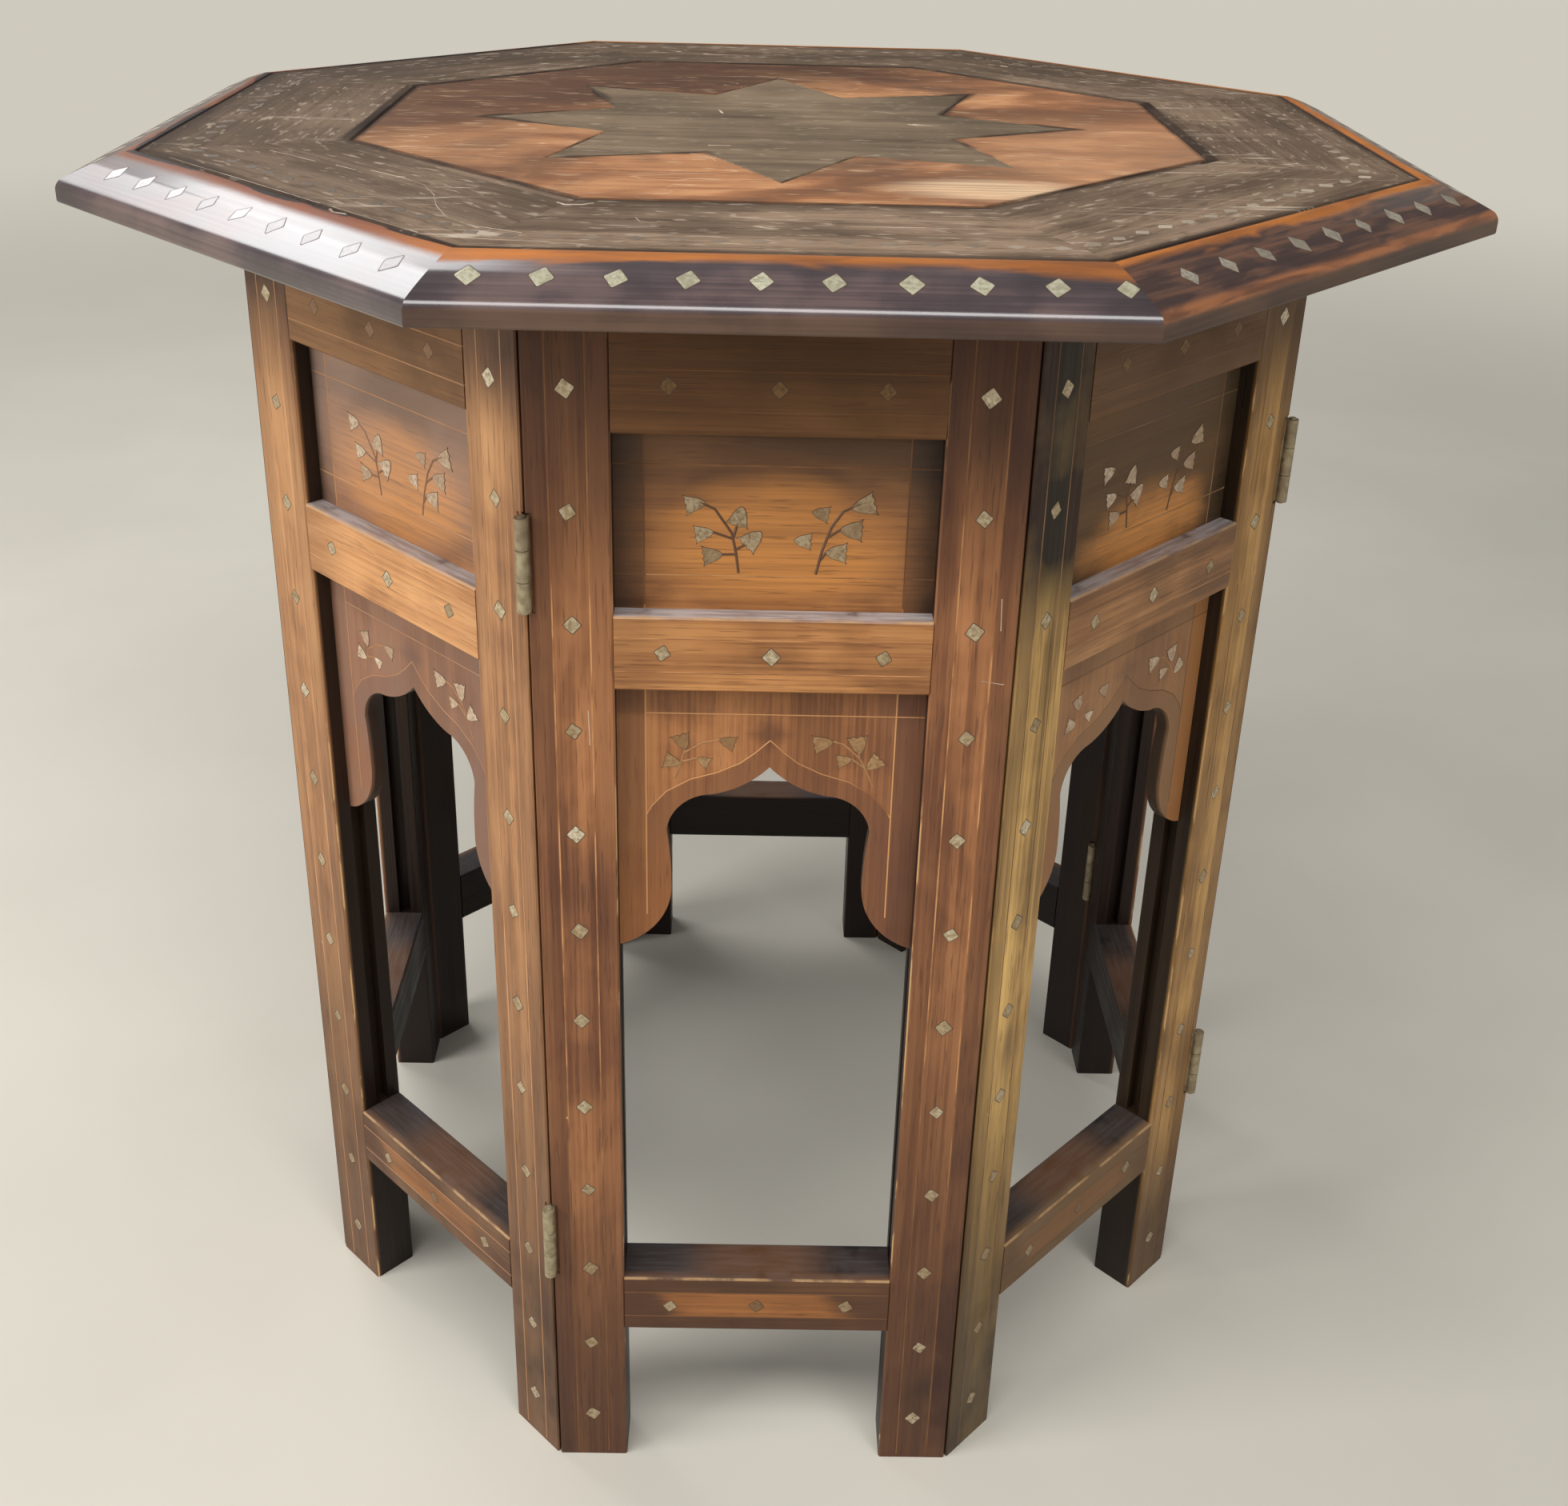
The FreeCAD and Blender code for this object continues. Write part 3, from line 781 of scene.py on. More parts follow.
arch_stems = (
    ((43.4, 385.5), (40.6, 392.5), (37.3, 398.9), (36.8, 401.5)),
    ((37.3, 398.9), (30.5, 405.4), (26, 406.7)), ((40, 394), (34, 398.6)),
    ((-39.5, 388), (-37.2, 394.6), (-35.3, 401.7)), ((-36.8, 396), (-30.1, 397.8)),
    ((-35.8, 400), (-28, 405), (-21, 406.6)),
)


def leaf(materials):
    """A leaf of unit length along +X, from its narrow end at the origin, facing -Y."""
    upper = [(x, 0, z) for x, z in leaf_outline]
    lower = [(x, 0, -z) for x, z in reversed(leaf_outline[:-1])]
    piece = chain(upper + lower)
    for material in materials:
        piece.data.materials.append(material)
    open_whole()
    bpy.ops.mesh.edge_face_add()
    extrude((0, -0.012, 0))
    bpy.ops.mesh.inset(thickness=0.022)
    extrude((0, -0.008, 0))
    piece.active_material_index = 1
    bpy.ops.object.material_slot_assign()
    face_outwards()
    shut()
    return piece


leaf_brass = inlay_brass(
    "leaf_brass", (112, 84, 54), (138, 110, 76), (164, 140, 106), (190, 172, 140), 0.15)
worn_leaf = inlay_brass(
    "worn_leaf", (120, 84, 50), (136, 98, 60), (150, 113, 72), (176, 142, 98), 0.05)
pale_leaf = inlay_brass(
    "pale_leaf", (144, 110, 82), (162, 131, 102), (186, 159, 130), (216, 197, 172), 0.05)
dark_stem = gritty("dark_stem", 300, (74, 48, 30), (122, 84, 52), 0.5, 0.2)
faint_stem = gritty("faint_stem", 300, (118, 82, 58), (150, 110, 82), 0.5, 0.2)
worn_stem = gritty("worn_stem", 300, (134, 90, 54), (188, 140, 90), 0.5, 0.2)


def set_stems(lines, wood, radius, name):
    """Stems on the boards of the front panel, as thin rods half let in."""
    depth = board_face + 0.6 * radius
    stems = [chain([(x * mm, depth, z * mm) for x, z in line]) for line in lines]
    piece = wired(joined(stems, name), radius)
    piece.data.materials.append(wood)
    return piece


def set_leaves(ends, metal, name):
    """Leaves on the boards of the front panel, each from its narrow end to its mouth."""
    places = []
    for tip_x, tip_z, mouth_x, mouth_z in ends:
        length = math.dist((tip_x, tip_z), (mouth_x, mouth_z)) * mm
        turn = math.atan2(mouth_z - tip_z, mouth_x - tip_x)
        places.append(((tip_x * mm, board_face, tip_z * mm), (0, -turn, 0), length))
    return spread(leaf((dark_mastic, metal)), name, places)


sprays = joined([
    joined([
        set_leaves(upper_leaves, leaf_brass, "upper_leaves"),
        set_leaves(arch_leaves, worn_leaf, "arch_leaves"),
    ], "spray_leaves"),
    set_stems(upper_stems, dark_stem, stem_radius, "upper_stems"),
    set_stems(arch_stems, worn_stem, 0.7 * stem_radius, "arch_stems"),
], "front_sprays")
on_every_side(sprays, "sprays")
change_finish("front_left_sprays", dark_stem, faint_stem)
for panel in panels[1:]:
    change_finish(f"{panel}_sprays", worn_leaf, pale_leaf)
    change_finish(f"{panel}_sprays", leaf_brass, pale_leaf)

# Butt hinges: two at each corner, with the leaves let into the mitred edges and held by countersunk
# screws. Corners open outwards and inwards by turns, so the pins lie alternately outside and inside.
# Cast and drawn brass, browned and mottled.
mitre = side_turn / 2
joints = {joint["name"]: joint for joint in frame["joints"]}
inside_pin = Vector(joints["base_fold"]["pos_m"]).xy.length
outside_pin = Vector(joints["front_left_hinge"]["pos_m"]).xy.length
leaf_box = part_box("front_panel_hinge_leaves")
hinge_length = 40 * mm
hinge_heights = (leaf_box[0].z, leaf_box[1].z - hinge_length)
knuckles = 3
knuckle_radius, knuckle_gap = 2.85 * mm, 0.3 * mm
knuckle_pitch = (hinge_length + knuckle_gap) / knuckles
leaf_start, leaf_reach = 2 * mm, 15 * mm
leaf_gap, leaf_thickness = 0.5 * mm, 1.2 * mm
pin_radius, pin_overhang = 1.4 * mm, 0.8 * mm
screw_radius, screw_slot = 2.3 * mm, 0.3 * mm
screw_places = ((8.5, 7), (11, 20), (8.5, 33))

old_brass = Finish("hinge_brass")
place = old_brass.place()
mottle = place.noise(260, 4).fade(0.36, 0.64)
brown = place.noise(70, 3).fade(0.4, 0.62)
rubbed_brass = old_brass.ramp(mottle, (146, 132, 104), (178, 165, 134))
hinge_metal = old_brass.surface(
    Base_Color=old_brass.mix(0.5 * brown, rubbed_brass, (112, 90, 68)),
    Metallic=0.6 - 0.3 * brown,
    Roughness=0.36 + 0.24 * mottle,
    Normal=old_brass.bumps(mottle, 0.12 * mm),
)


def rod(radius, length, middle, segments, edge):
    """An upright rod with eased rims."""
    cylinder = bpy.ops.mesh.primitive_cylinder_add
    piece = start_from(cylinder, vertices=segments, radius=radius, depth=length, location=middle)
    open_where(piece, "polygons", lambda polygon: abs(polygon.normal.z) > 0.9)
    bpy.ops.mesh.region_to_loop()
    bpy.ops.mesh.bevel(offset=edge, segments=2)
    shut()
    bpy.ops.object.shade_smooth_by_angle(angle=math.radians(35))
    return piece


def leaf_plate(height):
    """The flat of a leaf, along +X and on the +Y side of the mitre."""
    middle = ((leaf_start + leaf_reach) / 2, leaf_gap + leaf_thickness / 2, height + hinge_length / 2)
    plate = start_from(bpy.ops.mesh.primitive_cube_add, size=1, location=middle)
    plate.scale = (leaf_reach - leaf_start, leaf_thickness, hinge_length)
    bpy.ops.object.transform_apply(location=False, rotation=False, scale=True)
    open_whole()
    bpy.ops.mesh.bevel(offset=0.2 * mm, segments=1)
    shut()
    return plate


def screw(x, height):
    """A slotted screw head, flush in the leaf and facing the other leaf."""
    circle = bpy.ops.mesh.primitive_circle_add
    head = start_from(circle, vertices=16, radius=screw_radius, fill_type="NGON")
    bpy.ops.object.mode_set(mode="EDIT")
    for side_of_slot in (screw_slot, -screw_slot):
        bpy.ops.mesh.select_all(action="SELECT")
        bpy.ops.mesh.bisect(plane_co=(0, side_of_slot, 0), plane_no=(0, 1, 0))
    bpy.ops.mesh.select_all(action="SELECT")
    extrude((0, 0, 0.5 * mm))
    shut()
    for polygon in head.data.polygons:
        inner = abs(polygon.center.y) < 0.1 * mm and abs(polygon.center.x) < screw_radius / 2
        polygon.select = inner and polygon.center.z > 0.4 * mm
    bpy.ops.object.mode_set(mode="EDIT")
    bpy.ops.mesh.select_mode(type="FACE")
    extrude((0, 0, -0.35 * mm))
    face_outwards()
    bpy.ops.mesh.select_mode(type="VERT")
    shut()
    head.rotation_euler = (math.pi / 2, dice.uniform(0, math.pi), 0)
    head.location = (x * mm, leaf_gap + 0.4 * mm, height)
    return head


def hinge_half(height, own_knuckles):
    """Leaf, knuckles and screws of one half, with the pin axis upright at the origin."""
    pieces = [leaf_plate(height)]
    for i in own_knuckles:
        middle = (0, 0, height + knuckle_pitch * (i + 0.5) - knuckle_gap / 2)
        pieces.append(rod(knuckle_radius, knuckle_pitch - knuckle_gap, middle, 24, 0.3 * mm))
    pieces += [screw(x, height + z * mm) for x, z in screw_places]
    return joined(pieces, "hinge_half")


def pin_rod(height):
    middle = (0, 0, height + hinge_length / 2)
    return joined([rod(pin_radius, hinge_length + 2 * pin_overhang, middle, 16, 0.5 * mm)], "hinge_pin")


def at_corner(piece, outside, left):
    """Sets a piece from the pin axis at the right-hand or left-hand corner of the front panel."""
    corner = mitre - math.pi / 2
    radius = outside_pin if outside else inside_pin
    alone(piece)
    if not outside:
        piece.scale.y = -1
    piece.rotation_euler.z = corner + (math.pi if outside else 0)
    piece.location = (radius * math.cos(corner), radius * math.sin(corner), 0)
    bpy.ops.object.transform_apply(location=True, rotation=True, scale=True)
    if left:
        piece.scale.x = -1
        bpy.ops.object.transform_apply(location=False, rotation=False, scale=True)
    bpy.ops.object.mode_set(mode="EDIT")
    face_outwards()
    shut()
    return piece


for side, panel in enumerate(panels):
    holds_pins = side % 2 == 1
    own_knuckles = (0, 2) if holds_pins else (1,)
    halves, pins = [], []
    for left in (False, True):
        outside = holds_pins != left
        for height in hinge_heights:
            halves.append(at_corner(hinge_half(height, own_knuckles), outside, left))
            if holds_pins:
                pins.append(at_corner(pin_rod(height), outside, left))
    for pieces, label in ((halves, "hinge_leaves"), (pins, "hinge_pins")):
        if pieces:
            piece = turned(joined(pieces, f"{panel}_{label}"), side)
            piece.data.materials.append(hinge_metal)
            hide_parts(f"{panel}_panel_{label}")
            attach(piece, f"{panel}_panel")

# Top board: the octagonal core that the rest of the top is glued on. Only its underside shows, left
# plain and unpolished.
plain = Finish("top_board_wood")
bands, stains, fibres, pores = plain.place().grain(0)
tone = 0.4 * bands + 0.3 * stains + 0.3 * fibres
colour = plain.ramp(tone, (74, 50, 36), (112, 80, 56), (140, 104, 74))
dress("top_board", plain.surface(
    Base_Color=plain.mix(0.4 * pores, colour, (60, 40, 30)),
    Roughness=0.6 + 0.2 * fibres,
    Specular_IOR_Level=0.25,
    Normal=plain.bumps(fibres - pores, 0.3 * mm),
))

# Edge moulding: eight strips mitred round the core, with an upright edge and a softly rounded
# chamfer, planed a hair clear of the legs that fold under it. Nearly black with layers of polish,
# its black lifted to a grey-purple as a painted sheen, and worn back to orange along the arrises.
moulding_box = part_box("edge_moulding")
top_apothem = moulding_box[1].x
top_low, top_high = moulding_box[0].z, moulding_box[1].z
core_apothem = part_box("top_board")[1].x
strip_low = top_low + 0.1 * mm
groove = 1.1 * mm
chamfer_low = (top_apothem, top_low + 8.5 * mm)
chamfer_high = (core_apothem + 3.6 * mm, top_high)
chamfer_crown = 0.8 * mm
chamfer_steps = 10


def arc_points(start, end, bulge, steps):
    """Points along a shallow arc between two points of a section, both ends included."""
    start, end = Vector(start), Vector(end)
    chord = end - start
    out = Vector((-chord.y, chord.x)).normalized()
    if out.y < 0:
        out = -out
    shares = [i / steps for i in range(steps + 1)]
    return [start + chord * t + out * bulge * 4 * t * (1 - t) for t in shares]


groove_foot = (core_apothem, top_high - groove)
section = [
    groove_foot,
    (core_apothem, strip_low),
    (top_apothem, strip_low),
    *arc_points(chamfer_low, chamfer_high, chamfer_crown, chamfer_steps),
    (core_apothem + groove, top_high),
    groove_foot,
]
moulding = chain([(out * math.tan(mitre), -out, z) for out, z in section])
open_whole()
bpy.ops.mesh.spin(steps=len(panels), angle=2 * math.pi, center=(0, 0, 0), axis=(0, 0, 1))
bpy.ops.mesh.select_all(action="SELECT")
bpy.ops.mesh.remove_doubles(threshold=0.01 * mm)
bpy.ops.mesh.normals_make_consistent(inside=False)
shut()


def ease_arris(piece, apothem, height, offset, segments):
    """Rounds the edges that run round the octagon at one distance from its middle and one height."""
    def on_arris(index):
        co = piece.data.vertices[index].co
        out = max(abs(co.x), abs(co.y), (abs(co.x) + abs(co.y)) * math.sqrt(0.5))
        return abs(out - apothem) < 0.05 * mm and abs(co.z - height) < 0.05 * mm
    open_where(piece, "edges", lambda edge: all(on_arris(i) for i in edge.vertices))
    bpy.ops.mesh.select_mode(type="EDGE")
    bpy.ops.mesh.bevel(offset=offset, segments=segments)
    bpy.ops.mesh.select_mode(type="VERT")
    shut()


ease_arris(moulding, *chamfer_low, 3.0 * mm, 8)
ease_arris(moulding, top_apothem, strip_low, 1.2 * mm, 6)
ease_arris(moulding, *chamfer_high, 1.0 * mm, 3)
bpy.ops.object.shade_smooth_by_angle(angle=math.radians(16))
moulding.name = "edge_moulding_strips"


def octagon_axes(place):
    """Distance from the middle square to the nearest side, way along that side, and a number for it."""
    x, y, _ = place.axes()
    root = math.sqrt(0.5)
    across = (x, y, root * (x + y), root * (x - y))
    along = (y, x, across[3], across[2])
    reach = abs(across[0]).larger(abs(across[1])).larger(abs(across[2])).larger(abs(across[3]))
    owns = [abs(wire) > reach - 0.00001 for wire in across]
    way = sum(own * wire for own, wire in zip(owns, along))
    number = sum(own * (i + 1 + 4 * (wire > 0)) for i, (own, wire) in enumerate(zip(owns, across)))
    return reach, way, number


polish = Finish("edge_moulding_polish")
place = polish.place()
x, _, z = place.axes()
reach, way, number = octagon_axes(place)
strip_place = polish.node("CombineXYZ", sockets={"X": way, "Y": reach, "Z": number * 0.37 + z})
_, stains, fibres, _ = strip_place.grain(0)
blotch = place.noise(26, 5).fade(0.36, 0.64)
rub = strip_place.stretched((16, 70, 40)).noise(1.0, 6, 0.6).fade(0.38, 0.6)
mottle = strip_place.stretched((26, 150, 150)).noise(1.0, 8, 0.7).fade(0.38, 0.62)
front_number, front_left_number = 2, 3
front = abs(number - front_number).fade(0.5, 0.4)
front_left = abs(number - front_left_number).fade(0.5, 0.4)
left_strips = x.fade(-0.1, -0.16)
worn_strip = 1 - front - front_left
right_end = front * way.fade(0.06, 0.13)
ragged = rub * (1 - 0.75 * front_left)
wear_edge = core_apothem + mm * (5.5 + 4 * ragged + 1.6 * front + 3 * right_end + 2.2 * front_left)
inner_arris = (reach - wear_edge).fade(2.5 * mm, -2.5 * mm)
upright = z.fade(chamfer_low[1] - 0.6 * mm, chamfer_low[1] - 2 * mm)
lower_arris = abs(z - chamfer_low[1]).fade(2.6 * mm, 0.6 * mm)
dulled_end = 0.66 * front_left * way.fade(0.118, -0.12) * (1 - inner_arris)
groove_dirt = (reach - core_apothem - 3.5 * mm * rub * left_strips).fade(1.3 * mm, 0.5 * mm)
tone = 0.25 * fibres + 0.3 * stains + 0.45 * blotch
brown_tone = 0.25 * fibres + 0.25 * stains + 0.5 * mottle
orange_wood = polish.mix(left_strips, (190, 114, 46), (132, 70, 32))
# painted sheen: the near-black polish lifted to a grey-purple
colour = polish.coats(
    polish.ramp(tone, (48, 39, 41), (72, 58, 59), (110, 89, 84)),
    (worn_strip, polish.ramp(brown_tone, (46, 33, 31), (68, 48, 41), (108, 74, 54))),
    (upright * (0.75 - 0.75 * front_left), polish.ramp(tone, (60, 41, 34), (98, 72, 52))),
    (inner_arris * (0.4 + 0.35 * stains + 0.2 * mottle), orange_wood),
    (lower_arris * worn_strip * (0.3 + 0.6 * mottle), (164, 104, 64)),
    (groove_dirt, (38, 26, 22)),
)
polish_lost = (0.95 * inner_arris).larger(0.65 * worn_strip).larger(0.6 * upright * front)
moulding.data.materials.append(polish.surface(
    Base_Color=colour,
    Roughness=0.3 + 0.1 * blotch + (0.25 * inner_arris).larger(0.3 * worn_strip),
    Specular_IOR_Level=0.2,
    Coat_Weight=0.97 - dulled_end - polish_lost,
    Coat_Roughness=0.18,
    Coat_IOR=1.7,
))
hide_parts("edge_moulding")
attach(moulding, "table_top")

# Border band: eight mitred boards between two V grooves. The polish is gone from most of it, which
# leaves a dull grey-brown with long scratches, pale flecks and dark dirt in the grooves. Painted
# shade darkens its sides, its back and most of all its left.
field_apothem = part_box("star_field")[1].x
groove_black = (44, 33, 27)
border = Finish("border_wood")
place = border.place()
x, y, _ = place.axes()
reach, way, number = octagon_axes(place)
strip_place = border.node("CombineXYZ", sockets={"X": way, "Y": reach, "Z": number * 0.41})
bands, stains, fibres, pores = strip_place.grain(0, (3, 0, 0))
blotch = place.noise(13, 5).fade(0.36, 0.64)
flake_place = strip_place.stretched((95, 330, 1))
flecks = flake_place.noise(1.0, 4).fade(0.58, 0.7)
dark_flecks = flake_place.stretched((0.8, 0.8, 1), (9, 4, 0)).noise(1.0, 4).fade(0.55, 0.68)


def hairlines(place, scale, shift, detail, distortion, where):
    """Fine long scratches, kept to the parts where a mask is high."""
    hairs = place.stretched(scale, shift).noise(1.0, detail, distortion)
    return abs(hairs - 0.5).fade(0.006, 0.002) * where.fade(0.3, 0.8)


scratches = hairlines(place, (4, 40, 1), (0, 7, 0), 2, 0.6, blotch)
groove_reach = mm * (3 + 4 * place.noise(5, 3).fade(0.4, 0.6) + 8 * x.fade(-0.2, -0.25))
outer_groove = (core_apothem - reach).fade(groove_reach, mm)
inner_groove = (reach - field_apothem).fade(groove_reach, mm)
side_strips = abs(x).fade(field_apothem - 9 * mm, field_apothem - 4 * mm)
side_groove = side_strips * (reach - field_apothem).fade(5.6 * mm, 4 * mm)
groove_dirt = outer_groove.larger(inner_groove).larger(side_groove)
flanks, back, left = abs(x).fade(0.1, 0.2), y.fade(0.12, 0.2), x.fade(-0.06, -0.2)
left_border_shade = (0.42 + 0.24 * y.fade(-0.02, 0.08)) * left
border_shade = (0.3 * flanks).larger((0.52 + 0.48 * left) * back).larger(left_border_shade)
tone = (0.25 * bands + 0.3 * stains + 0.15 * fibres + 0.3 * blotch).fade(0, 1)
colour = border.coats(
    border.ramp(tone, (82, 67, 53), (120, 100, 82), (154, 130, 108)),
    # painted shade on the sides, the back and the left
    (border_shade, (70, 57, 46)),
    (0.5 * pores, (78, 62, 50)),
    (0.55 * dark_flecks, (84, 68, 56)),
    (0.5 * flecks, (190, 172, 152)),
    (0.5 * scratches, (216, 200, 178)),
    (0.8 * place.nicks(17), (232, 224, 210)),
    (groove_dirt * (0.55 + 0.4 * stains), groove_black),
)
dress("border_band", border.surface(
    Base_Color=colour,
    Roughness=0.6 + 0.14 * blotch + 0.1 * flecks,
    Specular_IOR_Level=0.06,
    Normal=border.bumps(0.4 * fibres - 0.6 * pores + 0.5 * flecks - 0.6 * scratches, 0.25 * mm),
))

# Star field: the octagon inside the border, orange-brown where the star's ground has kept its
# colour, with darker stains round the star and a bleached patch near the front. It is darker towards
# the back left, painted with shade on its left and with light on its near right. The glue line of
# the star shows dark along parts of its edge.
star_tip, star_notch, star_shift = 141 * mm, 86 * mm, 8 * mm


def star_line(place):
    """Darkness of the glue line along the edge of the star, which is broken here and there."""
    x, y, _ = place.axes()
    y = y + star_shift
    radius = (x * x + y * y).root()
    turn = y.angle(x).pingpong(mitre)
    notch = Vector((star_notch * math.cos(mitre) - star_tip, star_notch * math.sin(mitre)))
    out = Vector((notch.y, -notch.x)).normalized()
    off = out.x * (radius * turn.cosine() - star_tip) + out.y * radius * turn.sine()
    broken = place.noise(17, 3).fade(0.42, 0.56)
    width = 1.6 * mm + 4 * mm * place.noise(29, 2).fade(0.42, 0.62)
    return abs(off).fade(width, 0.5 * mm) * broken


ground = Finish("star_field_wood")
place = ground.place()
x, y, _ = place.axes()
reach, *_ = octagon_axes(place)
bands, stains, fibres, pores = place.grain(0, (0, 4, 0))
clouds = place.stretched((12, 20, 1), (3, 1, 0)).noise(1.0, 7, 0.8).fade(0.36, 0.64)
smoke = place.noise(13, 7, 0.8).fade(0.44, 0.66)
flecks = place.stretched((60, 210, 1)).noise(1.0, 4).fade(0.58, 0.7)
scratches = hairlines(place, (5, 30, 1), (2, 3, 0), 3, 0.8, clouds)
bleached = place.stretched((21, 42, 0), (-1.75, 6.5, 0)).length().fade(1.1, 0.4)
groove_dirt = reach.fade(field_apothem - 4 * mm, field_apothem - mm)
near_star = reach.fade(150 * mm, 95 * mm)
far_left = (y - 0.8 * x).fade(0.02, 0.16)
left_field_shade = x.fade(0, -0.15)
right_field_light = x.fade(0.05, 0.13) * y.fade(0.05, -0.03)
dark_lines = (groove_dirt * (0.55 + 0.4 * stains)).larger(0.85 * star_line(place))
tone = (0.15 * bands + 0.2 * stains + 0.15 * fibres + 0.5 * clouds).fade(0, 1)
colour = ground.coats(
    ground.ramp(tone, (116, 79, 56), (162, 111, 76), (206, 150, 104)),
    (smoke * (0.45 + 0.35 * near_star), (98, 75, 60)),
    (far_left * (0.84 + 0.14 * smoke), (66, 47, 38)),
    # painted light on the near right, painted shade on the left
    (0.4 * right_field_light, (192, 146, 110)),
    (left_field_shade * (0.38 + 0.3 * smoke), (104, 74, 56)),
    (0.3 * flecks, (212, 178, 142)),
    (0.4 * scratches, (222, 190, 156)),
    (0.4 * pores, (92, 62, 46)),
    (bleached * (0.35 + 0.6 * fibres), (228, 198, 162)),
    (dark_lines, groove_black),
)
dress("star_field", ground.surface(
    Base_Color=colour,
    Roughness=0.55 + 0.16 * fibres,
    Specular_IOR_Level=0.07,
    Normal=ground.bumps(0.4 * fibres - 0.6 * pores + 0.4 * flecks, 0.25 * mm),
))

# Star: the eight-pointed inlay in the middle, cut from a dull grey-brown wood and let into the field
# in a bed of dark glue. Its polish is gone, which leaves pale flecks and a few white chips.
inlay = Finish("star_wood")
place = inlay.place()
bands, stains, fibres, pores = place.grain(0, (0, 0, 6))
blotch = place.noise(15, 5).fade(0.36, 0.64)
flecks = place.stretched((100, 260, 1)).noise(1.0, 4).fade(0.6, 0.72)
tone = 0.2 * bands + 0.25 * stains + 0.2 * fibres + 0.35 * blotch
colour = inlay.coats(
    inlay.ramp(tone, (82, 69, 55), (116, 99, 80), (146, 127, 104)),
    (0.5 * pores, (72, 60, 49)),
    (0.45 * flecks, (176, 162, 140)),
    (0.8 * place.nicks(15), (232, 224, 208)),
    (0.75 * star_line(place), (48, 38, 31)),
)
dress("star", inlay.surface(
    Base_Color=colour,
    Roughness=0.6 + 0.14 * blotch,
    Specular_IOR_Level=0.06,
    Normal=inlay.bumps(0.4 * fibres - 0.6 * pores + 0.4 * flecks, 0.25 * mm),
))

# Inlay of the top: nine or ten brass lozenges under the polish of each chamfer, and a row of small
# flat ones round the border that are worn down and nearly lost in the dull wood.
plain_row = (10, 0.0)
chamfer_rows = {"front": (10, 5.0), "front_right": (9, 7.5), "front_left": (9, 2.0)}
chamfer_pitch = 24.5 * mm
chamfer_drop = Vector(chamfer_high) - Vector(chamfer_low)
chamfer_slope = math.atan2(chamfer_drop.y, -chamfer_drop.x)
chamfer_middle = (Vector(chamfer_low) + Vector(chamfer_high)) / 2
chamfer_out = Vector((math.sin(chamfer_slope), math.cos(chamfer_slope)))
lozenge_place = chamfer_middle + chamfer_out * chamfer_crown
lozenge_height, lozenge_width = 11 * mm, 8.8 * mm
lozenge_fold = chamfer_crown * (lozenge_height / chamfer_drop.length) ** 2
worn_height, worn_width = 6 * mm, 7.5 * mm
border_row = 252 * mm
border_lozenges = 14
border_pitch = 2 * border_row * math.tan(mitre) / border_lozenges

polished_brass = inlay_brass(
    "polished_brass", (128, 118, 96), (142, 136, 110), (176, 171, 144), (200, 196, 170), 0.2, 0.85)
dulled_brass = inlay_brass(
    "dulled_brass", (104, 92, 76), (116, 106, 90), (142, 133, 116), (168, 160, 142), 0.1, 0.3)
filmed_brass = inlay_brass(
    "filmed_brass", (112, 104, 104), (124, 116, 116), (142, 134, 134), (160, 152, 150), 0.0, 0.62)

dull = Finish("dull_lozenge")
place = dull.place()
x, y, _ = place.axes()
patches = place.noise(14, 4).fade(0.38, 0.62)
own = dull.node("NewGeometry", outputs="Random Per Island")
kept = x.fade(0.04, 0.14) * y.fade(0.02, -0.1)
worn_lozenge = dull.surface(
    Base_Color=dull.coats(
        dull.ramp(0.5 * own + 0.5 * patches, (98, 82, 68), (118, 101, 84), (150, 132, 112)),
        (0.7 * x.fade(-0.05, -0.15), (88, 74, 61)),
        (kept * (0.25 + 0.6 * own), (184, 170, 150)),
    ),
    Roughness=0.5 + 0.1 * patches,
    Specular_IOR_Level=0.3,
)


def chamfer_row(count, shift):
    """The lozenges of one chamfer, at the front, moved along it by the shift."""
    places = []
    for i in range(count):
        x = (i - (count - 1) / 2) * chamfer_pitch + (shift + off_mark()) * mm
        turn = (chamfer_slope - math.pi / 2, askew(), 0)
        places.append(((x, -lozenge_place.x, lozenge_place.y), turn, dice.uniform(0.92, 1.06)))
    lozenge = diamond(lozenge_height, lozenge_width, (dark_mastic, polished_brass), lozenge_fold)
    return spread(lozenge, "chamfer_row", places)


places = []
for i in range(border_lozenges):
    x = (i + 0.5 - border_lozenges / 2) * border_pitch
    place = (x + off_mark() * mm, -border_row + off_mark() * mm, top_high)
    places.append((place, (-math.pi / 2, askew(), 0), dice.uniform(0.85, 1.1)))
small_lozenge = diamond(worn_height, worn_width, (worn_lozenge, worn_lozenge))
border_line = spread(small_lozenge, "border_line", places)
for side, panel in enumerate(panels):
    line = copied(border_line)
    row = chamfer_row(*chamfer_rows.get(panel, plain_row))
    piece = turned(joined([row, line], f"{panel}_top_inlay"), side)
    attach(piece, "table_top")
bpy.data.objects.remove(border_line)
change_finish("front_left_top_inlay", polished_brass, filmed_brass)
change_finish("front_right_top_inlay", polished_brass, dulled_brass)

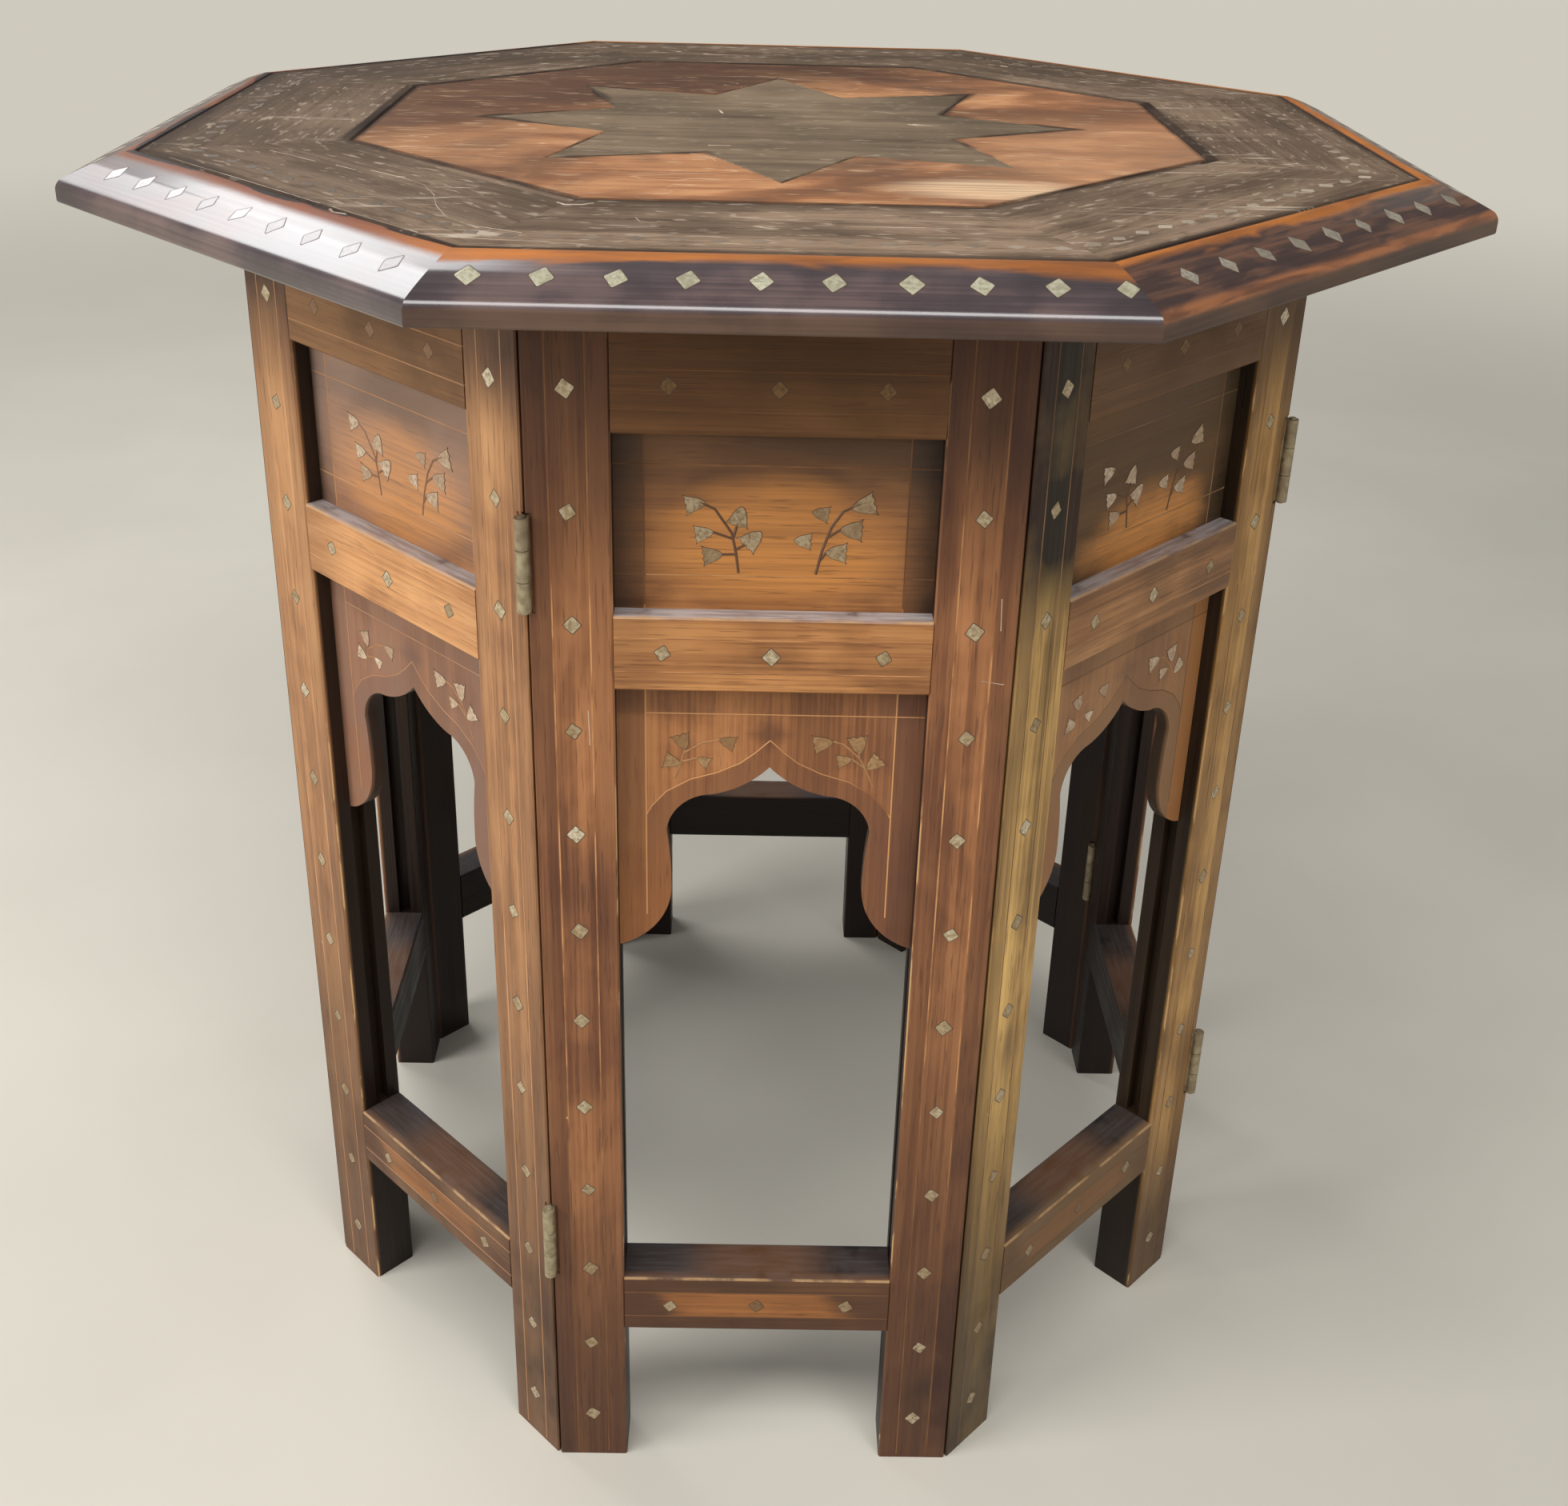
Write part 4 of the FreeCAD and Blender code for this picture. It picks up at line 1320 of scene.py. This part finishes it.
# Scratches and chips: a long curved scratch at the front left of the border, straight ones at the
# front right, and a few on the front panel, all cut through to the pale wood.
scratch_radius, chip_radius = 0.24 * mm, 0.8 * mm
scratch_lines = (
    (
        (-166, -143), (-152, -155), (-140, -169), (-133, -187),
        (-129, -206), (-122, -225), (-110, -238), (-92, -247),
    ),
    ((60, -246), (78, -244.5), (98, -243.5), (116, -243)),
    ((-216, -106), (-204, -116), (-192, -127)), ((-182, -134), (-172, -143)), ((22, -226), (52, -225)),
    ((-252, -126), (-236, -142.5), (-210, -168), (-172, -206.5)),
    ((-166, -212), (-150, -228.5), (-128, -250)),
    ((-54, -219), (-52, -225), (-48, -227.5), (-46, -227), (-45, -223)),
    ((-39, -91.5), (-33, -94.5), (-27.5, -106)),
)
chip_lines = (
    ((61, -5), (65, -7.2), (72, -8.6), (76, -6.5)), ((63.5, -4), (69, -6), (74, -6.6)),
    ((130, 204), (134, 200)), ((-29.5, 25), (-27.5, 15)), ((-166, -216), (-164, -221), (-158.5, -224)),
    ((-85, -196), (-82, -199.5), (-75.5, -199), (-71.5, -196)), ((-32, -71.5), (-22, -70.5)),
)
panel_lines = (
    ((83.5, 440.6), (88, 440), (93, 439.2)), ((89.4, 477), (90, 463)), ((-74, 424), (-73.6, 408)),
)


def scored(lines, radius, name):
    """Thin rods of bare wood along lines of the top, let in until only their crowns show."""
    height = top_high - 0.65 * radius
    strokes = [chain([(x * mm, y * mm, height) for x, y in line]) for line in lines]
    return wired(joined(strokes, name), radius)


top_scratches = joined([
    scored(scratch_lines, scratch_radius, "scratches"),
    scored(chip_lines, chip_radius, "chips"),
], "top_scratches")
panel_strokes = [string_line(line, face - 0.25 * mm) for line in panel_lines]
panel_scratches = wired(joined(panel_strokes, "front_panel_scratches"), scratch_radius)
bare = Finish("bare_scratch")
patches = bare.place().noise(60, 4).fade(0.35, 0.65)
bare_wood = bare.surface(
    Base_Color=bare.mix(patches, (208, 192, 170), (150, 130, 110)),
    Roughness=0.6 + 0.1 * patches,
    Specular_IOR_Level=0.2,
)
for piece, slot, body in (
    (top_scratches, "border_wood", "table_top"),
    (panel_scratches, "frame_wood", "front_panel"),
):
    piece.data.materials.append(bare_wood)
    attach(piece, body)

# Floor, lights and camera: a plain pale floor under soft studio light, seen from where the table
# was photographed.
floor = start_from(bpy.ops.mesh.primitive_plane_add, size=40)
floor.name = "floor"
floor_tone, black = (212, 207, 194), (0, 0, 0)
backdrop_light, room_light = 0.92, 0.22


def seen(finish):
    """1 for a ray from the camera, or one mirrored or let through on its way, and 0 for all others."""
    kinds = ("Camera", "Glossy", "Transmission")
    return sum(finish.node("LightPath", outputs=f"Is {kind} Ray") for kind in kinds)


concrete = Finish("pale_floor")
place = concrete.place()
mottling = place.noise(2.2, 6).fade(0.3, 0.7)
far = seen(concrete) * place.length().fade(1.0, 3.5)
near_colour = concrete.mix(mottling, (203, 198, 185), floor_tone)
floor.data.materials.append(concrete.surface(
    Base_Color=concrete.mix(far, near_colour, black),
    Emission_Color=concrete.mix(far, black, floor_tone),
    Emission_Strength=backdrop_light,
    Roughness=0.8,
    Specular_IOR_Level=0.2,
))


def softbox(name, place, aim, width, height, power):
    bpy.ops.object.light_add(type="AREA", location=place)
    lamp = bpy.context.object
    lamp.name = name
    lamp.data.shape = "RECTANGLE"
    lamp.data.size = width
    lamp.data.size_y = height
    lamp.data.energy = power
    lamp.rotation_euler = (Vector(aim) - Vector(place)).to_track_quat("-Z", "Y").to_euler()


softbox("key_light", (-2.6, -1.3, 1.6), (0, 0, 0.4), width=1.5, height=1.3, power=62)
softbox("front_light", (-0.1, -1.35, 2.6), (0, 0, 0.45), width=2.2, height=0.8, power=38)
softbox("fill_light", (1.6, -2.2, 1.8), (0, 0, 0.4), width=1.4, height=1.4, power=16)
softbox("rim_light", (-1.3, 1.25, 1.88), (0, -0.09, 0.715), width=1.2, height=1.25, power=21.2)

room = Finish("studio", "worlds")
bpy.context.scene.world = room.material
backdrop = seen(room) * room.node("TexCoord", outputs="Generated").axes()[2].fade(0.4, 0.14)
background = room.tree.nodes["Background"]
feed(background.inputs["Color"], room.mix(backdrop, (251.6, 252.75, 255), floor_tone))
feed(background.inputs["Strength"], room_light + (backdrop_light - room_light) * backdrop)

photo_width, photo_height = 1960, 1883
focal_pixels = 2215
principal_x, principal_y = 969.5, 763.2
sensor = 36
camera_data = bpy.data.cameras.new("camera")
camera_data.sensor_width = sensor
camera_data.lens = focal_pixels / photo_width * sensor
camera_data.shift_x = (photo_width / 2 - principal_x) / photo_width
camera_data.shift_y = (principal_y - photo_height / 2) / photo_width
camera = bpy.data.objects.new("camera", camera_data)
bpy.context.scene.collection.objects.link(camera)
camera.location = (-0.0087, -0.8676, 0.7631)
camera.rotation_euler = [math.radians(angle) for angle in (65.15, -1.33, -0.23)]
bpy.context.scene.camera = camera
bpy.context.scene.view_settings.view_transform = "Standard"
